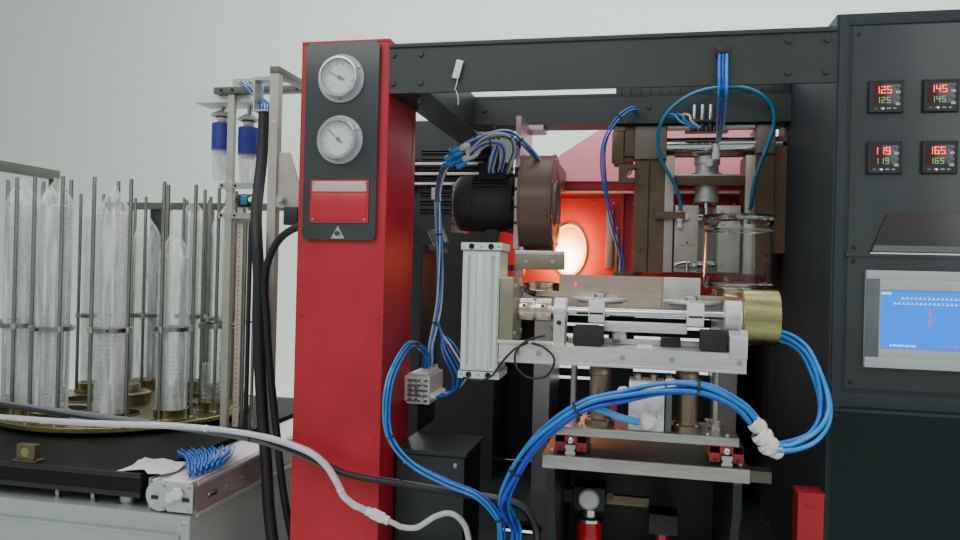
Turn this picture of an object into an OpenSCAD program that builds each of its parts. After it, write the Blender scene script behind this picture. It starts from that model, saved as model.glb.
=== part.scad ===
// Blow moulding machine with a cup carousel feeder, millimetres, +Z up,
// origin on the floor under the centre of the machine, operator side at -Y.

/* [Red column] */
// Width of the red front column, left to right
column_w = 165; // [120:5:200]
// Depth of the red front column
column_d = 165; // [120:5:200]
// Height of the top of the red column above the floor
column_top = 1850; // [1846:1:1856]

/* [Sheet metal] */
// Thickness of the folded sheet in covers and cabinets
sheet_t = 3; // [2:0.5:4]
// Thickness of the wall of the red column
column_t = 4; // [3:0.5:6]

/* [Control cabinet] */
// Side of one square temperature controller
controller_side = 48; // [44:1:50]
// Horizontal pitch of the temperature controllers
controller_pitch = 76; // [70:1:80]

/* [Blower] */
// Outer diameter of the blower motor over its fins
motor_dia = 119; // [100:1:130]
// Outer diameter of the blower drum
drum_dia = 200; // [180:2:204]
// Number of blades on the blower wheel
blade_count = 12; // [8:1:16]

/* [Moulding station] */
// Diameter of the chrome tie bars
tie_bar_dia = 35; // [25:1:38]
// Diameter of the mould cavity
cavity_dia = 56; // [40:1:60]

/* [Carousel feeder] */
// Radius of the circle of the stack cages
carousel_r = 260; // [250:1:262]
// Diameter of one cage rod
rod_dia = 9; // [6:0.5:9]
// Height of the tops of the cage rods above the floor
rod_top = 1640; // [1500:5:1660]

/* [Hidden] */
cages = 12;
axis_z = 1390;            // flip shaft height
axis_y = -440;            // flip shaft depth
blow_z = 1592;            // blower axis height
blow_y = -50;             // blower axis depth
car_x = -811;
car_y = 135;
car_a = 28;               // angle of the first cage
mould_x = 646;            // parting plane of the mould
red = [0.62, 0.12, 0.17];
dark = [0.16, 0.19, 0.21];
pale = [0.66, 0.70, 0.67];
steel = [0.62, 0.63, 0.64];
chrome = [0.80, 0.81, 0.83];
black = [0.06, 0.06, 0.07];
brass = [0.66, 0.53, 0.30];
blue = [0.05, 0.33, 0.78];

// stack heights of the twelve cages
stack_top = [1590, 1560, 1585, 1530, 1575, 1590, 1560, 1585, 1580, 1565, 1470, 1200];

// hand chosen points along the hoses and cables
way_main = [[676, -527, 1243], [650, -530, 1270], [605, -530, 1290], [550, -530, 1290], [495, -525, 1275], [445, -525, 1260], [400, -520, 1230], [360, -520, 1190], [332, -515, 1140], [317, -494, 1096], [321, -458, 1062], [325, -431, 1036], [325, -430, 1009], [325, -430, 982.4]];
way_swivel = [[690.4, -383, 1360], [702, -383, 1360], [714, -383, 1360], [740, -386, 1355], [762, -398, 1338], [774, -420, 1308], [778, -448, 1275], [772, -476, 1248], [754, -498, 1228], [730, -511, 1218], [712, -518, 1214], [694, -524, 1212]];
way_column = [[113, -236, 1258.4], [113, -236, 1271], [113, -238, 1284], [108, -262, 1304], [100, -312, 1308], [95, -385, 1264], [92, -400, 1210], [100, -402, 1160], [140, -405, 1120], [205, -415, 1095], [262, -425, 1080], [296, -430, 1052], [303, -430, 1028], [303, -430, 1005], [303, -430, 982.4]];
way_motor = [[205, -90.4, 1656], [205, -101, 1656], [205, -112, 1657], [212, -122, 1680], [216, -122, 1706], [196, -122, 1724], [162, -122, 1712], [132, -124, 1690], [109, -128, 1648], [100, -132, 1602], [103, -136, 1551], [110, -140, 1468], [113, -150, 1387], [113, -180, 1330], [113, -199, 1298], [113, -200, 1278], [113, -200, 1258.4]];
way_mould = [[495, -19.4, 1790], [495, -32, 1790], [494, -45, 1790], [480, -54, 1786], [458, -56, 1768], [438, -52, 1735], [430, -46, 1700], [432, -38, 1655], [440, -20, 1600], [452, 4, 1550], [464, 22, 1510], [471, 29, 1484], [472, 30, 1468], [472, 30, 1452.4]];
way_stretch = [[590, -10, 1582.4], [590, -10, 1594], [589, -11, 1606], [575, -17, 1642], [549, -25, 1686], [540, -34, 1728], [548, -42, 1765], [575, -50, 1798], [621, -54, 1822], [680, -54, 1829], [725, -52, 1820], [757, -48, 1795], [765, -45, 1762], [757, -42, 1722], [743, -39, 1680], [733, -36, 1646], [729, -32, 1616], [729, -22, 1597], [729, -10, 1590.5], [729, -1, 1590], [729, 7.6, 1590]];
way_conduit = [[-334, -60, 1795.6], [-334, -60, 1770], [-334, -61, 1745], [-333, -66, 1690], [-329, -84, 1625], [-314, -120, 1560], [-296, -147, 1500], [-287, -152, 1420], [-285, -152, 1331], [-279, -152, 1230], [-268, -156, 1130], [-248, -172, 1030], [-226, -194, 930], [-196, -218, 850], [-160, -233, 803], [-134, -235, 790], [-115, -235, 790], [-95.4, -235, 790]];
way_branch = [[-92.4, -250, 1530], [-108, -250, 1530], [-125, -250, 1530], [-165, -245, 1522], [-208, -226, 1496], [-243, -200, 1448], [-258, -178, 1396], [-260, -164, 1340], [-256, -158, 1260], [-246, -154, 1170], [-232, -156, 1080], [-214, -162, 980], [-190, -164, 880], [-160, -161, 790], [-136, -160, 745], [-116, -160, 740], [-95.4, -160, 740]];
way_black = [[-1160, -300, 1048.4], [-1160, -300, 1064], [-1160, -302, 1080], [-1146, -340, 1112], [-1100, -372, 1136], [-1040, -385, 1148], [-870, -390, 1166], [-700, -390, 1165], [-560, -395, 1160], [-430, -398, 1155], [-300, -400, 1150], [-160, -400, 1140], [-65, -402, 1120], [20, -402, 1092], [120, -398, 1082], [230, -392, 1072], [316, -352, 1050], [344, -322, 1000], [345, -320, 960], [345, -320, 935], [345, -320, 910.4]];
way_white = [[-1175, -340, 1048.4], [-1175, -340, 1062], [-1175, -342, 1076], [-1160, -378, 1102], [-1060, -408, 1128], [-870, -410, 1148], [-700, -410, 1146], [-545, -412, 1146], [-415, -414, 1150], [-295, -416, 1155], [-155, -418, 1152], [-55, -421, 1135], [-12, -421, 1113], [12, -421, 1084], [26, -421, 1060], [45.5, -421, 1045.8], [56.9, -421, 1041.9], [68.2, -421, 1038]];
way_clear = [[108.7, -421, 1024.1], [120, -421, 1020.2], [131.4, -421, 1016.3], [158, -420, 1018], [188, -417, 1038], [214, -413, 1044], [236, -406, 1024], [245, -401, 985], [252, -396, 946], [268, -395, 930], [279, -395, 930], [289.6, -395, 930]];

function cr(a, b, c, d, t) = 0.5 * (2 * b + (c - a) * t + (2 * a - 5 * b + 4 * c - d) * t * t + (3 * b - a - 3 * c + d) * t * t * t);
function smooth(p, n) = let (m = len(p), q = concat([2 * p[0] - p[1]], p, [2 * p[m - 1] - p[m - 2]]))
    concat([for (i = [0 : m - 2]) for (j = [0 : n - 1]) cr(q[i], q[i + 1], q[i + 2], q[i + 3], j / n)], [p[m - 1]]);
function unit(v) = v / norm(v);
function tang(p, i) = unit(p[min(i + 1, len(p) - 1)] - p[max(i - 1, 0)]);
function side(p, i = 0, acc = []) = i == len(p) ? acc :
    let (t = tang(p, i), v = i == 0 ? (abs(t.z) < 0.9 ? [0, 0, 1] : [1, 0, 0]) : acc[i - 1], n = unit(v - (v * t) * t))
    side(p, i + 1, concat(acc, [n]));

// round tube swept along a list of points
module tube(way, d, n = 4, s = 8) {
    p = smooth(way, n);
    f = side(p);
    m = len(p);
    pts = [for (i = [0 : m - 1]) let (t = tang(p, i), u = f[i], v = cross(t, u))
        for (k = [0 : s - 1]) p[i] + d / 2 * (cos(360 * k / s) * u + sin(360 * k / s) * v)];
    wall = [for (i = [0 : m - 2]) for (k = [0 : s - 1]) let (a = i * s + k, b = i * s + (k + 1) % s)
        each [[a, a + s, b], [b, a + s, b + s]]];
    ends = [[for (k = [0 : s - 1]) k], [for (k = [s - 1 : -1 : 0]) (m - 1) * s + k]];
    polyhedron(points = pts, faces = concat(wall, ends), convexity = 8);
}

// box from a low corner to a high corner
module bx(a, b) { translate(a) cube(b - a); }
// cylinders along each axis, from a start point
module cx(p, d, l, f = 40) { translate(p) rotate([0, 90, 0]) cylinder(d = d, h = l, $fn = f); }
module cy(p, d, l, f = 40) { translate(p) rotate([-90, 0, 0]) cylinder(d = d, h = l, $fn = f); }
module cz(p, d, l, f = 40) { translate(p) cylinder(d = d, h = l, $fn = f); }

// which node to draw

module base_frame() color(dark) { deck(); difference() {
    union() {
        for (z = [60, 840]) {
            for (y = [-375, 435]) bx([-92, y, z], [800, y + 60, z + 60]);
            for (x = [-92, 740]) bx([x, -375, z], [x + 60, 495, z + 60]);
            bx([330, -375, z], [390, 495, z + 60]);
        }
        for (x = [-92, 330, 740]) for (y = [-375, 435]) bx([x, y, 60], [x + 60, y + 60, 900]);
    }
    for (x = [-62, 360, 770]) for (y = [-345, 465]) cz([x, y, 55], 16, 40);
} }

module foot(x, y) {
    difference() {
        union() { cz([x, y, 0], 80, 12); translate([x, y, 12]) cylinder(d1 = 44, d2 = 30, h = 10, $fn = 40); cz([x, y, 22], 30, 14, 6); cz([x, y, 36], 24, 24, 32); }
        for (a = [-29, 29]) cz([x + a, y, -1], 9, 14, 24);
    }
}
module levelling_feet() color(steel) {
    for (x = [-62, 360, 770]) for (y = [-345, 465]) foot(x, y);
    for (x = [850, 1150]) for (y = [-325, 65]) foot(x, y);
    for (x = [-1150, -342]) for (y = [-325, 440]) foot(x, y);
}

// welded top plate of the base frame
module deck() color(dark) difference() {
    bx([-92, -375, 900], [800, 495, 910]);
    for (x = [280, 700]) cz([x, -60, 890], 90, 30, 48);
    for (x = [-40, 620]) bx([x, 330, 890], [x + 120, 400, 920]);
}

module lower_panels() color(dark) difference() {
    union() {
        for (x = [-90, 356]) { bx([x, -378, 70], [x + 441, -375, 892]); }
        bx([-95, -373, 70], [-92, 493, 892]);
        for (x = [-90, 356]) bx([x, 495, 70], [x + 441, 498, 892]);
    }
    for (x = [20, 466]) for (i = [0 : 9]) bx([x, -380, 150 + 26 * i], [x + 220, -370, 158 + 26 * i]);
    for (x = [20, 466]) for (i = [0 : 9]) bx([x, 490, 600 + 26 * i], [x + 220, 500, 608 + 26 * i]);
}

module front_column() color(red) difference() {
    bx([73 - column_w, -375, 910], [73, -375 + column_d, column_top]);
    bx([73 - column_w + column_t, -375 + column_t, 905], [73 - column_t, -375 + column_d - column_t, column_top - column_t]);
    for (z = [1781, 1673]) cy([-12, -380, z], 68, 12);
    cx([-100, -250, 1530], 26, 16);
}

module gauge_panel() color(black) difference() {
    union() {
        for (x = [-70, 47]) for (z = [1507, 1836]) cy([x, -383, z], 20, 8, 32);
        bx([-80, -383, 1507], [57, -375, 1836]);
        bx([-70, -383, 1497], [47, -375, 1846]);
        cy([-12, -388, 1508], 9, 5, 32);
    }
    for (z = [1781, 1673]) cy([-12, -390, z], 68, 20);
}

module instruction_plate() color(red) difference() {
    bx([-65, -385, 1527], [44, -383, 1603]);
    for (x = [-59, 38]) for (z = [1533, 1597]) cy([x, -386, z], 4, 4, 20);
}

module pressure_gauges() color(chrome) for (z = [1781, 1673]) difference() {
    union() { cy([-12, -387, z], 85, 4, 64); cy([-12, -401, z], 70, 14, 64); cy([-12, -384, z], 66, 40, 64); cy([-12, -344, z], 14, 14, 24); }
    cy([-12, -402, z], 63, 4, 64);
    cy([-12, -399, z], 58, 8, 64);
    cy([-12, -392, z], 3, 10, 24);
    for (a = [30, 150, 270]) translate([-12 + 38.5 * cos(a), -388, z + 38.5 * sin(a)]) rotate([-90, 0, 0]) cylinder(d = 4, h = 6, $fn = 20);
}
module gauge_lenses() color([0.8, 0.9, 0.9, 0.3]) for (z = [1781, 1673]) cy([-12, -400, z], 62.8, 2, 64);
module needle(z, a) {
    cy([-12, -395, z], 7, 3, 24);
    cy([-12, -392, z], 2.9, 8, 24);
    translate([-12, -394.4, z]) rotate([0, a, 0]) bx([-0.7, 0, 3], [0.7, 1, 24]);
    translate([-12, -394.4, z]) rotate([0, a, 0]) bx([-1.4, 0, -10], [1.4, 1, -3]);
}
module gauge_needle_upper() color(black) needle(1781, -62);
module gauge_needle_lower() color(black) needle(1673, -48);

module top_frame() color(dark) {
    bx([73, -375, 1755], [800, -369, 1839]);
    bx([73, -369, 1833], [800, -305, 1839]);
    bx([75, -369, 1756], [145, 275, 1833]);
    bx([145, -19, 1766], [800, 51, 1822]);
}

module control_cabinet() color(dark) {
  for (z = [150, 1080]) { bx([1191, -381, z], [1200, -375, z + 20]); cz([1190, -382, z], 10, 20, 32); cz([1190, -382, z + 20], 5, 58, 32); }
  difference() {
    bx([800, -375, 60], [1200, 115, 1860]);
    bx([800 + sheet_t, -375 + sheet_t, 60 + sheet_t], [1200 - sheet_t, 115 - sheet_t, 1860 - sheet_t]);
    bx([820, -380, 1279], [1180, -371, 1840]);
    bx([820, -380, 80], [1180, -371, 1240]);
    for (x = [850, 1150]) for (y = [-325, 65]) cz([x, y, 55], 16, 20);
    for (i = [0 : 7]) bx([1190, -250, 300 + 30 * i], [1210, -50, 310 + 30 * i]);
  }
}
module cabinet_door() color(dark) {
    difference() {
        union() {
            bx([806, -378, 70], [1184, -375.4, 1252]);
            bx([825, -375.4, 90], [1172, -368, 1230]);
        }
        bx([828, -375.4, 93], [1169, -360, 1227]);
    }
    for (z = [150, 1080]) difference() { union() { bx([1178, -382, z + 20.5], [1187, -378, z + 80]); cz([1190, -382, z + 20.5], 10, 59.5, 32); } cz([1190, -382, z + 10], 5.1, 80, 32); }
    bx([822, -383, 640], [846, -378, 760]);
    bx([828, -398, 655], [840, -383, 665]);
    bx([828, -398, 735], [840, -383, 745]);
    bx([828, -402, 655], [840, -398, 745]);
}

module control_panel() color(black) difference() {
    union() {
        bx([814, -372, 1273], [1186, -369, 1846]);
        bx([820, -375, 1279], [1180, -372, 1840]);
        bx([820, -379, 1486], [1180, -375, 1492]);
    }
    for (i = [0 : 3]) for (z = [1730, 1637]) bx([871 + controller_pitch * i - 21, -380, z - 21], [871 + controller_pitch * i + 21, -360, z + 21]);
    bx([856, -380, 1325], [1046, -360, 1457]);
}
module temperature_controllers() color(black) for (i = [0 : 3]) for (z = [1730, 1637]) {
    x = 871 + controller_pitch * i;
    h = controller_side / 2;
    difference() {
        bx([x - h, -381, z - h], [x + h, -375, z + h]);
        bx([x - 19, -382, z - 12], [x + 19, -379, z + 19]);
        for (k = [0 : 3]) bx([x - 17 + 9 * k, -382, z - 20], [x - 11 + 9 * k, -380, z - 16]);
    }
    bx([x - 20.5, -375, z - 20.5], [x + 20.5, -300, z + 20.5]);
}
module touch_screen() color(steel) {
    difference() {
        bx([849, -383, 1317], [1053, -375, 1465]);
        bx([870, -384, 1346], [1024, -381, 1435]);
    }
    bx([858, -375, 1327], [1044, -335, 1455]);
}

module rear_covers() color(dark) {
    bx([797, 115, 911], [800, 200, 1760]);
    difference() {
        bx([-92, 275, 910], [150, 500, 1839]);
        bx([-92 + sheet_t, 275 + sheet_t, 905], [150 - sheet_t, 500 - sheet_t, 1839 - sheet_t]);
        for (i = [0 : 7]) bx([-60, 270, 1600 + 22 * i], [120, 290, 1606 + 22 * i]);
        for (i = [0 : 7]) bx([-60, 480, 1100 + 30 * i], [120, 510, 1108 + 30 * i]);
    }
    difference() {
        bx([150, 203, 910], [800, 500, 1667]);
        bx([147, 200, 905], [800 - sheet_t, 500 - sheet_t, 1667 - sheet_t]);
        for (i = [0 : 9]) for (x = [230, 500]) bx([x, 480, 1150 + 30 * i], [x + 200, 510, 1158 + 30 * i]);
    }
}
// upright oval of the oven mouth
module oval(y, w, h, l) translate([342, y + l, 1504]) rotate([90, 0, 0]) linear_extrude(l) polygon([for (i = [0 : 39]) [w / 2 * cos(9 * i), h / 2 * sin(9 * i)]]);
module oven_front_panel() color(red) difference() {
    union() {
        bx([150, 200, 1400], [800, 203, 1667]);
        bx([150, 185, 1640], [797, 200, 1643]);
    }
    oval(180, 80, 124, 40);
}
module tinted_window() color([0.85, 0.35, 0.42, 0.6]) {
    translate([0, 204, 0]) rotate([90, 0, 0]) linear_extrude(4)
        polygon([[254, 1667], [797, 1667], [797, 1800], [415, 1800], [314, 1735]]);
    bx([415, 196, 1800], [797, 208, 1808]);
}
module oven_housing() color(steel) {
    difference() {
        union() { bx([230, 206, 1360], [760, 470, 1645]); oval(196, 78, 122, 14); }
        bx([234, 210, 1364], [756, 466, 1641]);
        oval(190, 71, 114, 30);
    }
    for (x = [260, 700]) bx([x, 220, 910], [x + 40, 460, 1360]);
}
module oven_lamps() color([1, 0.75, 0.3]) for (i = [0 : 5]) {
    cx([242, 440, 1400 + 40 * i], 12, 506, 24);
    bx([234, 432, 1391 + 40 * i], [242, 448, 1409 + 40 * i]);
    bx([748, 432, 1391 + 40 * i], [756, 448, 1409 + 40 * i]);
}

module blower_bracket() color(steel) difference() {
    union() { bx([257, -115, 1495], [267, 51, 1766]); bx([267, -19, 1756], [300, 51, 1766]); }
    cx([250, blow_y, blow_z], 40, 30);
    for (z = [1510, 1715]) bx([250, -100, z], [275, -80, z + 12]);
}
module blower_motor() color(black) {
    difference() {
        union() {
            cx([160, blow_y, blow_z], motor_dia - 16, 90, 48);
            cx([121, blow_y, blow_z], motor_dia, 41, 48);
            cx([247, blow_y, blow_z], motor_dia, 10, 48);
            for (a = [0 : 15 : 345]) translate([162, blow_y, blow_z]) rotate([a, 0, 0]) bx([0, -1.5, 45], [85, 1.5, motor_dia / 2 - 0.5]);
            bx([175, -90, 1640], [235, -10, 1672]);
        }
        cx([225, blow_y, blow_z], 20.1, 50);
        for (a = [0 : 45 : 315]) translate([118, blow_y, blow_z]) rotate([a, 0, 0]) bx([0, -3, 18], [8, 3, 48]);
    }
}
module blower_housing() color(dark) difference() {
    union() {
        cx([267, blow_y, 1594], drum_dia, 68, 64);
        bx([272, -50, 1644], [330, 200, 1692]);
    }
    cx([271, blow_y, 1594], drum_dia - 8, 60, 64);
    cx([260, blow_y, blow_z], 40, 20);
    cx([325, blow_y, 1594], 90, 20);
    bx([276, -40, 1648], [326, 205, 1688]);
}
module blower_impeller() color(steel) {
    cx([230, blow_y, blow_z], 20, 58, 32);
    cx([288, blow_y, blow_z], 150, 3, 48);
    cx([291, blow_y, blow_z], 30, 20, 32);
    for (i = [0 : blade_count - 1]) translate([291, blow_y, blow_z]) rotate([360 * i / blade_count, 0, 0]) bx([0, -1, 42], [30, 1, 72]);
}

module clamp_frame() color([0.24, 0.21, 0.20]) {
    difference() {
        union() {
            bx([449, 5, 1690], [491, 95, 1766]);
            bx([495, 0, 1454], [557, 100, 1762]);
            bx([491, 20, 1700], [495, 80, 1750]);
            bx([739, 0, 1454], [774, 100, 1762]);
            bx([774, 10, 1500], [800, 90, 1740]);
            bx([470, 5, 1762], [790, 51, 1766]);
            bx([540, -14, 1566], [600, -6, 1582]);
            bx([540, -6, 1566], [556, 0, 1582]);
            bx([455, 20, 1440], [515, 40, 1452]);
            bx([497, 20, 1452], [515, 40, 1454]);
            bx([557, 94, 1454], [739, 98, 1600]);
        }
        for (y = [27, 75]) cx([440, y, 1725], tie_bar_dia + 0.1, 400);
        for (z = [1476, 1575]) cx([530, 78, z], 16.1, 230, 32);
        bx([524, -1, 1470], [526, 3, 1690]);
    }
    difference() {
        union() {
            bx([557, 8, 1454], [577, 92, 1702]);
            bx([719, 8, 1454], [739, 92, 1702]);
            bx([577, 15, 1640], [719, 85, 1662]);
        }
        for (z = [1476, 1575]) cx([530, 78, z], 16.1, 230, 32);
        cz([mould_x, 45, 1630], 48.1, 40);
    }
}
module tie_bars() color(chrome) {
    for (y = [27, 75]) cx([452, y, 1725], tie_bar_dia, 340, 48);
    for (z = [1476, 1575]) cx([545, 78, z], 16, 206, 32);
}
module half(s) difference() {
    bx(s < 0 ? [580, 5, 1457] : [664, 5, 1457], s < 0 ? [628, 92, 1597] : [712, 92, 1597]);
    translate([mould_x + 18 * s, 45, 1475]) cylinder(d1 = cavity_dia - 10, d2 = cavity_dia, h = 100, $fn = 48);
    cz([mould_x + 18 * s, 45, 1570], 36, 40, 48);
    for (z = [1476, 1575]) cx([570, 78, z], 16.2, 160, 32);
    for (z = [1500, 1550]) cy([s < 0 ? 600 : 692, 0, z], 10, 16, 24);
}
module mold_half_left() color(pale) half(-1);
module mold_half_right() color(steel) half(1);
module stretch_cylinder() color(steel) difference() {
    union() { cz([mould_x, 45, 1606], 48, 98, 48); }
    cz([mould_x, 45, 1600], 16.1, 95, 32);
}
module stretch_rod() color(chrome) { cz([mould_x, 45, 1580], 16, 102, 32); cz([mould_x, 45, 1572], 10, 8, 32); }

module valve_manifold() color(pale) difference() {
    union() {
        bx([73, -240, 1195], [80, -160, 1243]);
        bx([80, -250, 1192], [125, -150, 1246]);
        for (i = [0 : 4]) cz([113, -236 + 18 * i, 1246], 8, 12, 20);
        for (i = [0 : 4]) cx([125, -236 + 18 * i, 1205], 8, 10, 20);
    }
    for (i = [0 : 4]) bx([84, -251, 1196 + 9.6 * i], [121, -247, 1200 + 9.6 * i]);
}
module junction_box() color(dark) {
    difference() { bx([80, -300, 910], [209, -160, 1112]); bx([83, -297, 913], [206, -163, 1115]); }
    bx([76, -304, 1112], [213, -156, 1117]);
}
module corner_channel() color(red) difference() {
    bx([761, -375, 910], [799, -335, 1115]);
    bx([765, -371, 905], [795, -330, 1120]);
}

module bench_support() color(steel) {
    for (x = [380, 650]) translate([x, 0, 0]) rotate([90, 0, 90]) linear_extrude(12)
        polygon([[-370, 910], [-200, 910], [-200, 1155], [-490, 1155], [-490, 1110]]);
    bx([392, -212, 910], [650, -200, 1155]);
    difference() {
        bx([374, -500, 1155], [671, -200, 1176]);
        for (x = [440, 605]) cz([x, -485, 1150], 9, 30, 24);
    }
    bx([671, -500, 1158], [700, -470, 1174]);
    bx([290, -445, 940], [345, -415, 982]);
    bx([290, -415, 910], [345, -370, 950]);
    cz([435, -300, 960], 44, 62, 48);
    cz([435, -300, 1022], 30, 20, 32);
    bx([410, -325, 1042], [460, -275, 1080]);
    bx([392, -312, 1050], [410, -288, 1072]);
}
module linear_rails() color(chrome) for (x = [415, 640]) difference() {
    bx([x - 7.5, -495, 1176], [x + 7.5, -205, 1191]);
    for (s = [-1, 1]) bx([x + s * 7.5 - 1.5, -496, 1181], [x + s * 7.5 + 1.5, -204, 1185]);
}
module transfer_carriage() color(steel) {
    for (x = [415, 640]) difference() {
        bx([x - 23.5, -482, 1179.5], [x + 23.5, -400, 1203]);
        bx([x - 8, -490, 1170], [x + 8, -390, 1191.5]);
    }
    difference() {
        bx([385, -484, 1203], [657, -380, 1216]);
        for (x = [400, 642]) for (y = [-470, -396]) cz([x, y, 1210], 11, 10, 24);
    }
    for (x = [413, 628]) cz([x, -430, 1216], 10, 95, 24);
    bx([500, -478, 1216], [550, -425, 1285]);
    cz([512, -452, 1285], 12, 12, 24);
    cz([536, -452, 1285], 12, 12, 24);
}
module lift_cylinders() color(brass) for (x = [455, 585]) difference() {
    union() { cz([x, -445, 1216], 46, 8, 48); cz([x, -445, 1224], 32, 81, 48); }
    cz([x, -445, 1221], 16.1, 100, 32);
}
module bench_bar() color(pale) {
    difference() {
        bx([300, -482, 1311], [665, -420, 1338]);
        for (x = [345, 520]) cz([x, -451, 1330], 11, 10, 24);
    }
    for (x = [455, 585]) cz([x, -445, 1226], 16, 85, 32);
    difference() { bx([300, -482, 1338], [318, -400, 1440]); cx([290, axis_y, axis_z], 16, 40, 32); }
    difference() { union() { bx([382, -464, 1338], [399, -420, 1378]); cx([382, axis_y, axis_z], 40, 17, 48); } cx([370, axis_y, axis_z], 12.1, 40, 32); }
    difference() { union() { bx([641, -470, 1338], [658, -420, 1370]); cx([641, axis_y, axis_z], 47, 17, 48); } cx([630, axis_y, axis_z], 12.1, 40, 32); }
    bx([641, -420, 1348], [658, -371, 1364]);
    bx([658, -395, 1345], [690, -371, 1375]);
}
module rotary_actuator() color(pale) difference() {
    union() {
        bx([238, -476, 1292], [297, -404, 1481]);
        bx([235, -478, 1280], [300, -402, 1292]);
        bx([235, -478, 1481], [300, -402, 1493]);
        bx([297, -460, 1350], [300, -420, 1430]);
    }
    for (x = [247, 262, 285]) bx([x, -477, 1300], [x + 4, -472, 1473]);
    for (z = [1286, 1487]) for (x = [252, 283]) cy([x, -480, z], 7, 8, 20);
    cx([270, axis_y, axis_z], 12.1, 40, 32);
}
module rubber_stops() color(black) for (x = [414, 602]) difference() {
    bx([x, -474, 1338], [x + 36, -428, 1368]);
    cz([x + 18, -451, 1360], 9, 10, 20);
}
module flip_shaft() color(chrome) {
    difference() {
        union() {
            cx([275, axis_y, axis_z], 12, 442, 32);
            cx([321, axis_y, axis_z], 36, 26, 48);
            cx([350, axis_y, axis_z], 36, 26, 48);
            cx([347, axis_y, axis_z], 28, 3, 32);
            for (x = [435, 583]) { bx([x, -455, 1375], [x + 23, -425, 1405]); bx([x, -425, 1380], [x + 23, -300, 1400]); }
        }
        for (x = [446.5, 594.5]) cz([x, -447, 1398], 6, 10, 20);
    }
}
module flip_plate() color(steel) {
    difference() {
        bx([372, -300, 1376], [612, -292, 1446]);
        for (x = [400, 590]) cy([x, -301, 1430], 7, 12, 20);
    }
    for (x = [338, 676]) { cz([x, -250, 1416], 78, 12, 48); cz([x, -250, 1404], 40, 12, 32); }
    bx([330, -292, 1406], [690, -280, 1416]);
}
module brass_roller() color(brass) difference() {
    cx([662, axis_y, axis_z], 82, 50, 64);
    cx([660, axis_y, axis_z], 12.1, 60, 32);
    for (a = [0 : 60 : 300]) translate([709, axis_y, axis_z]) rotate([a, 0, 0]) translate([0, 0, 28]) rotate([0, 90, 0]) cylinder(d = 6, h = 5, $fn = 20);
}
module clear_jar() color([0.9, 0.95, 0.95, 0.35]) translate([676, -250, 1428]) rotate_extrude($fn = 64)
    polygon([[0, 0], [50, 0], [56, 6], [58, 20], [56, 110], [60, 118], [60, 128], [57, 128], [54, 110], [55.5, 20], [53.5, 8], [49, 3], [0, 3]]);

module feeder_cabinet() color(pale) {
    difference() {
        bx([-1200, -375, 60], [-292, 490, 980]);
        bx([-1200 + sheet_t, -375 + sheet_t, 60 + sheet_t], [-292 - sheet_t, 490 - sheet_t, 980 - sheet_t]);
        bx([-1170, -380, 90], [-330, -370, 925]);
        for (i = [0 : 9]) bx([-900, 480, 300 + 30 * i], [-600, 500, 308 + 30 * i]);
        for (x = [-1150, -342]) for (y = [-325, 440]) cz([x, y, 55], 16, 20);
    }
    for (z = [190, 760]) { bx([-1200, -379, z], [-1192, -375, z + 30]); cz([-1190, -382, z], 10, 30, 32); cz([-1190, -382, z + 30], 5, 30, 32); }
}
module feeder_door() color(pale) {
    difference() {
        union() { bx([-1184, -378, 72], [-313, -375.4, 944]); bx([-1164, -375.4, 96], [-336, -366, 919]); }
        bx([-1161, -375.4, 99], [-339, -360, 916]);
    }
    for (z = [190, 760]) difference() { union() { bx([-1187, -382, z + 30.5], [-1176, -378, z + 58]); cz([-1190, -382, z + 30.5], 10, 27.5, 32); } cz([-1190, -382, z], 5.1, 70, 32); }
    bx([-346, -384, 500], [-324, -378, 600]);
    cy([-335, -392, 560], 16, 8, 32);
}
module feeder_table() color(black) {
    bx([-1198, -372, 1003], [-400, 485, 1048]);
    for (x = [-1150, -800, -450]) for (y = [-340, 440]) cz([x, y, 980], 30, 23, 32);
    difference() { cz([car_x, car_y, 1048], 160, 11.6, 48); cz([car_x, car_y, 1040], 40.1, 30, 48); }
    bx([-690, -365, 1048], [-640, -345, 1052]);
    difference() { bx([-685, -362, 1052], [-645, -350, 1082]); cy([-665, -370, 1067], 14, 30, 32); }
}
module turntable() color(brass) {
    difference() {
        cz([car_x, car_y, 1060], 2 * carousel_r + 104, 12, 96);
        for (a = [0 : 60 : 300]) translate([car_x + 150 * cos(a), car_y + 150 * sin(a), 1050]) cylinder(d = 90, h = 40, $fn = 40);
    }
    cz([car_x, car_y, 1051], 40, 9, 48);
    cz([car_x, car_y, 1072], 110, 30, 48);
    for (i = [0 : cages - 1]) translate([car_x + carousel_r * cos(car_a + 30 * i), car_y + carousel_r * sin(car_a + 30 * i), 1072]) difference() {
        cylinder(d = 79, h = 26, $fn = 48);
        translate([0, 0, 6]) cylinder(d = 73, h = 30, $fn = 48);
    }
}
module cage_rods() color(steel) for (i = [0 : cages - 1]) translate([car_x + carousel_r * cos(car_a + 30 * i), car_y + carousel_r * sin(car_a + 30 * i), 0]) {
    for (a = [60, 180, 300]) rotate(car_a + 30 * i + a) translate([40 + rod_dia / 2, 0, 1072]) cylinder(d = rod_dia, h = rod_top - 1072, $fn = 20);
    translate([0, 0, 1285]) difference() { cylinder(d = 92, h = 10, $fn = 48); translate([0, 0, -1]) cylinder(d = 84, h = 12, $fn = 48); }
}
module cup_stacks() color([0.85, 0.88, 0.9, 0.6]) for (i = [0 : cages - 1]) translate([car_x + carousel_r * cos(car_a + 30 * i), car_y + carousel_r * sin(car_a + 30 * i), 1078])
    rotate_extrude($fn = 32) let (h = stack_top[i] - 1078) polygon(concat([[0, 0], [33, 0], [35.5, 40], [37.5, 60], [38, 64]], [for (k = [1 : 12]) each [[35.5, 64 + (h - 100) * (k - 0.5) / 12], [38, 64 + (h - 100) * k / 12]]], [[34, h - 12], [22, h + 20], [10, h + 42], [4, h + 56], [0, h + 56]]));

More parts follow.
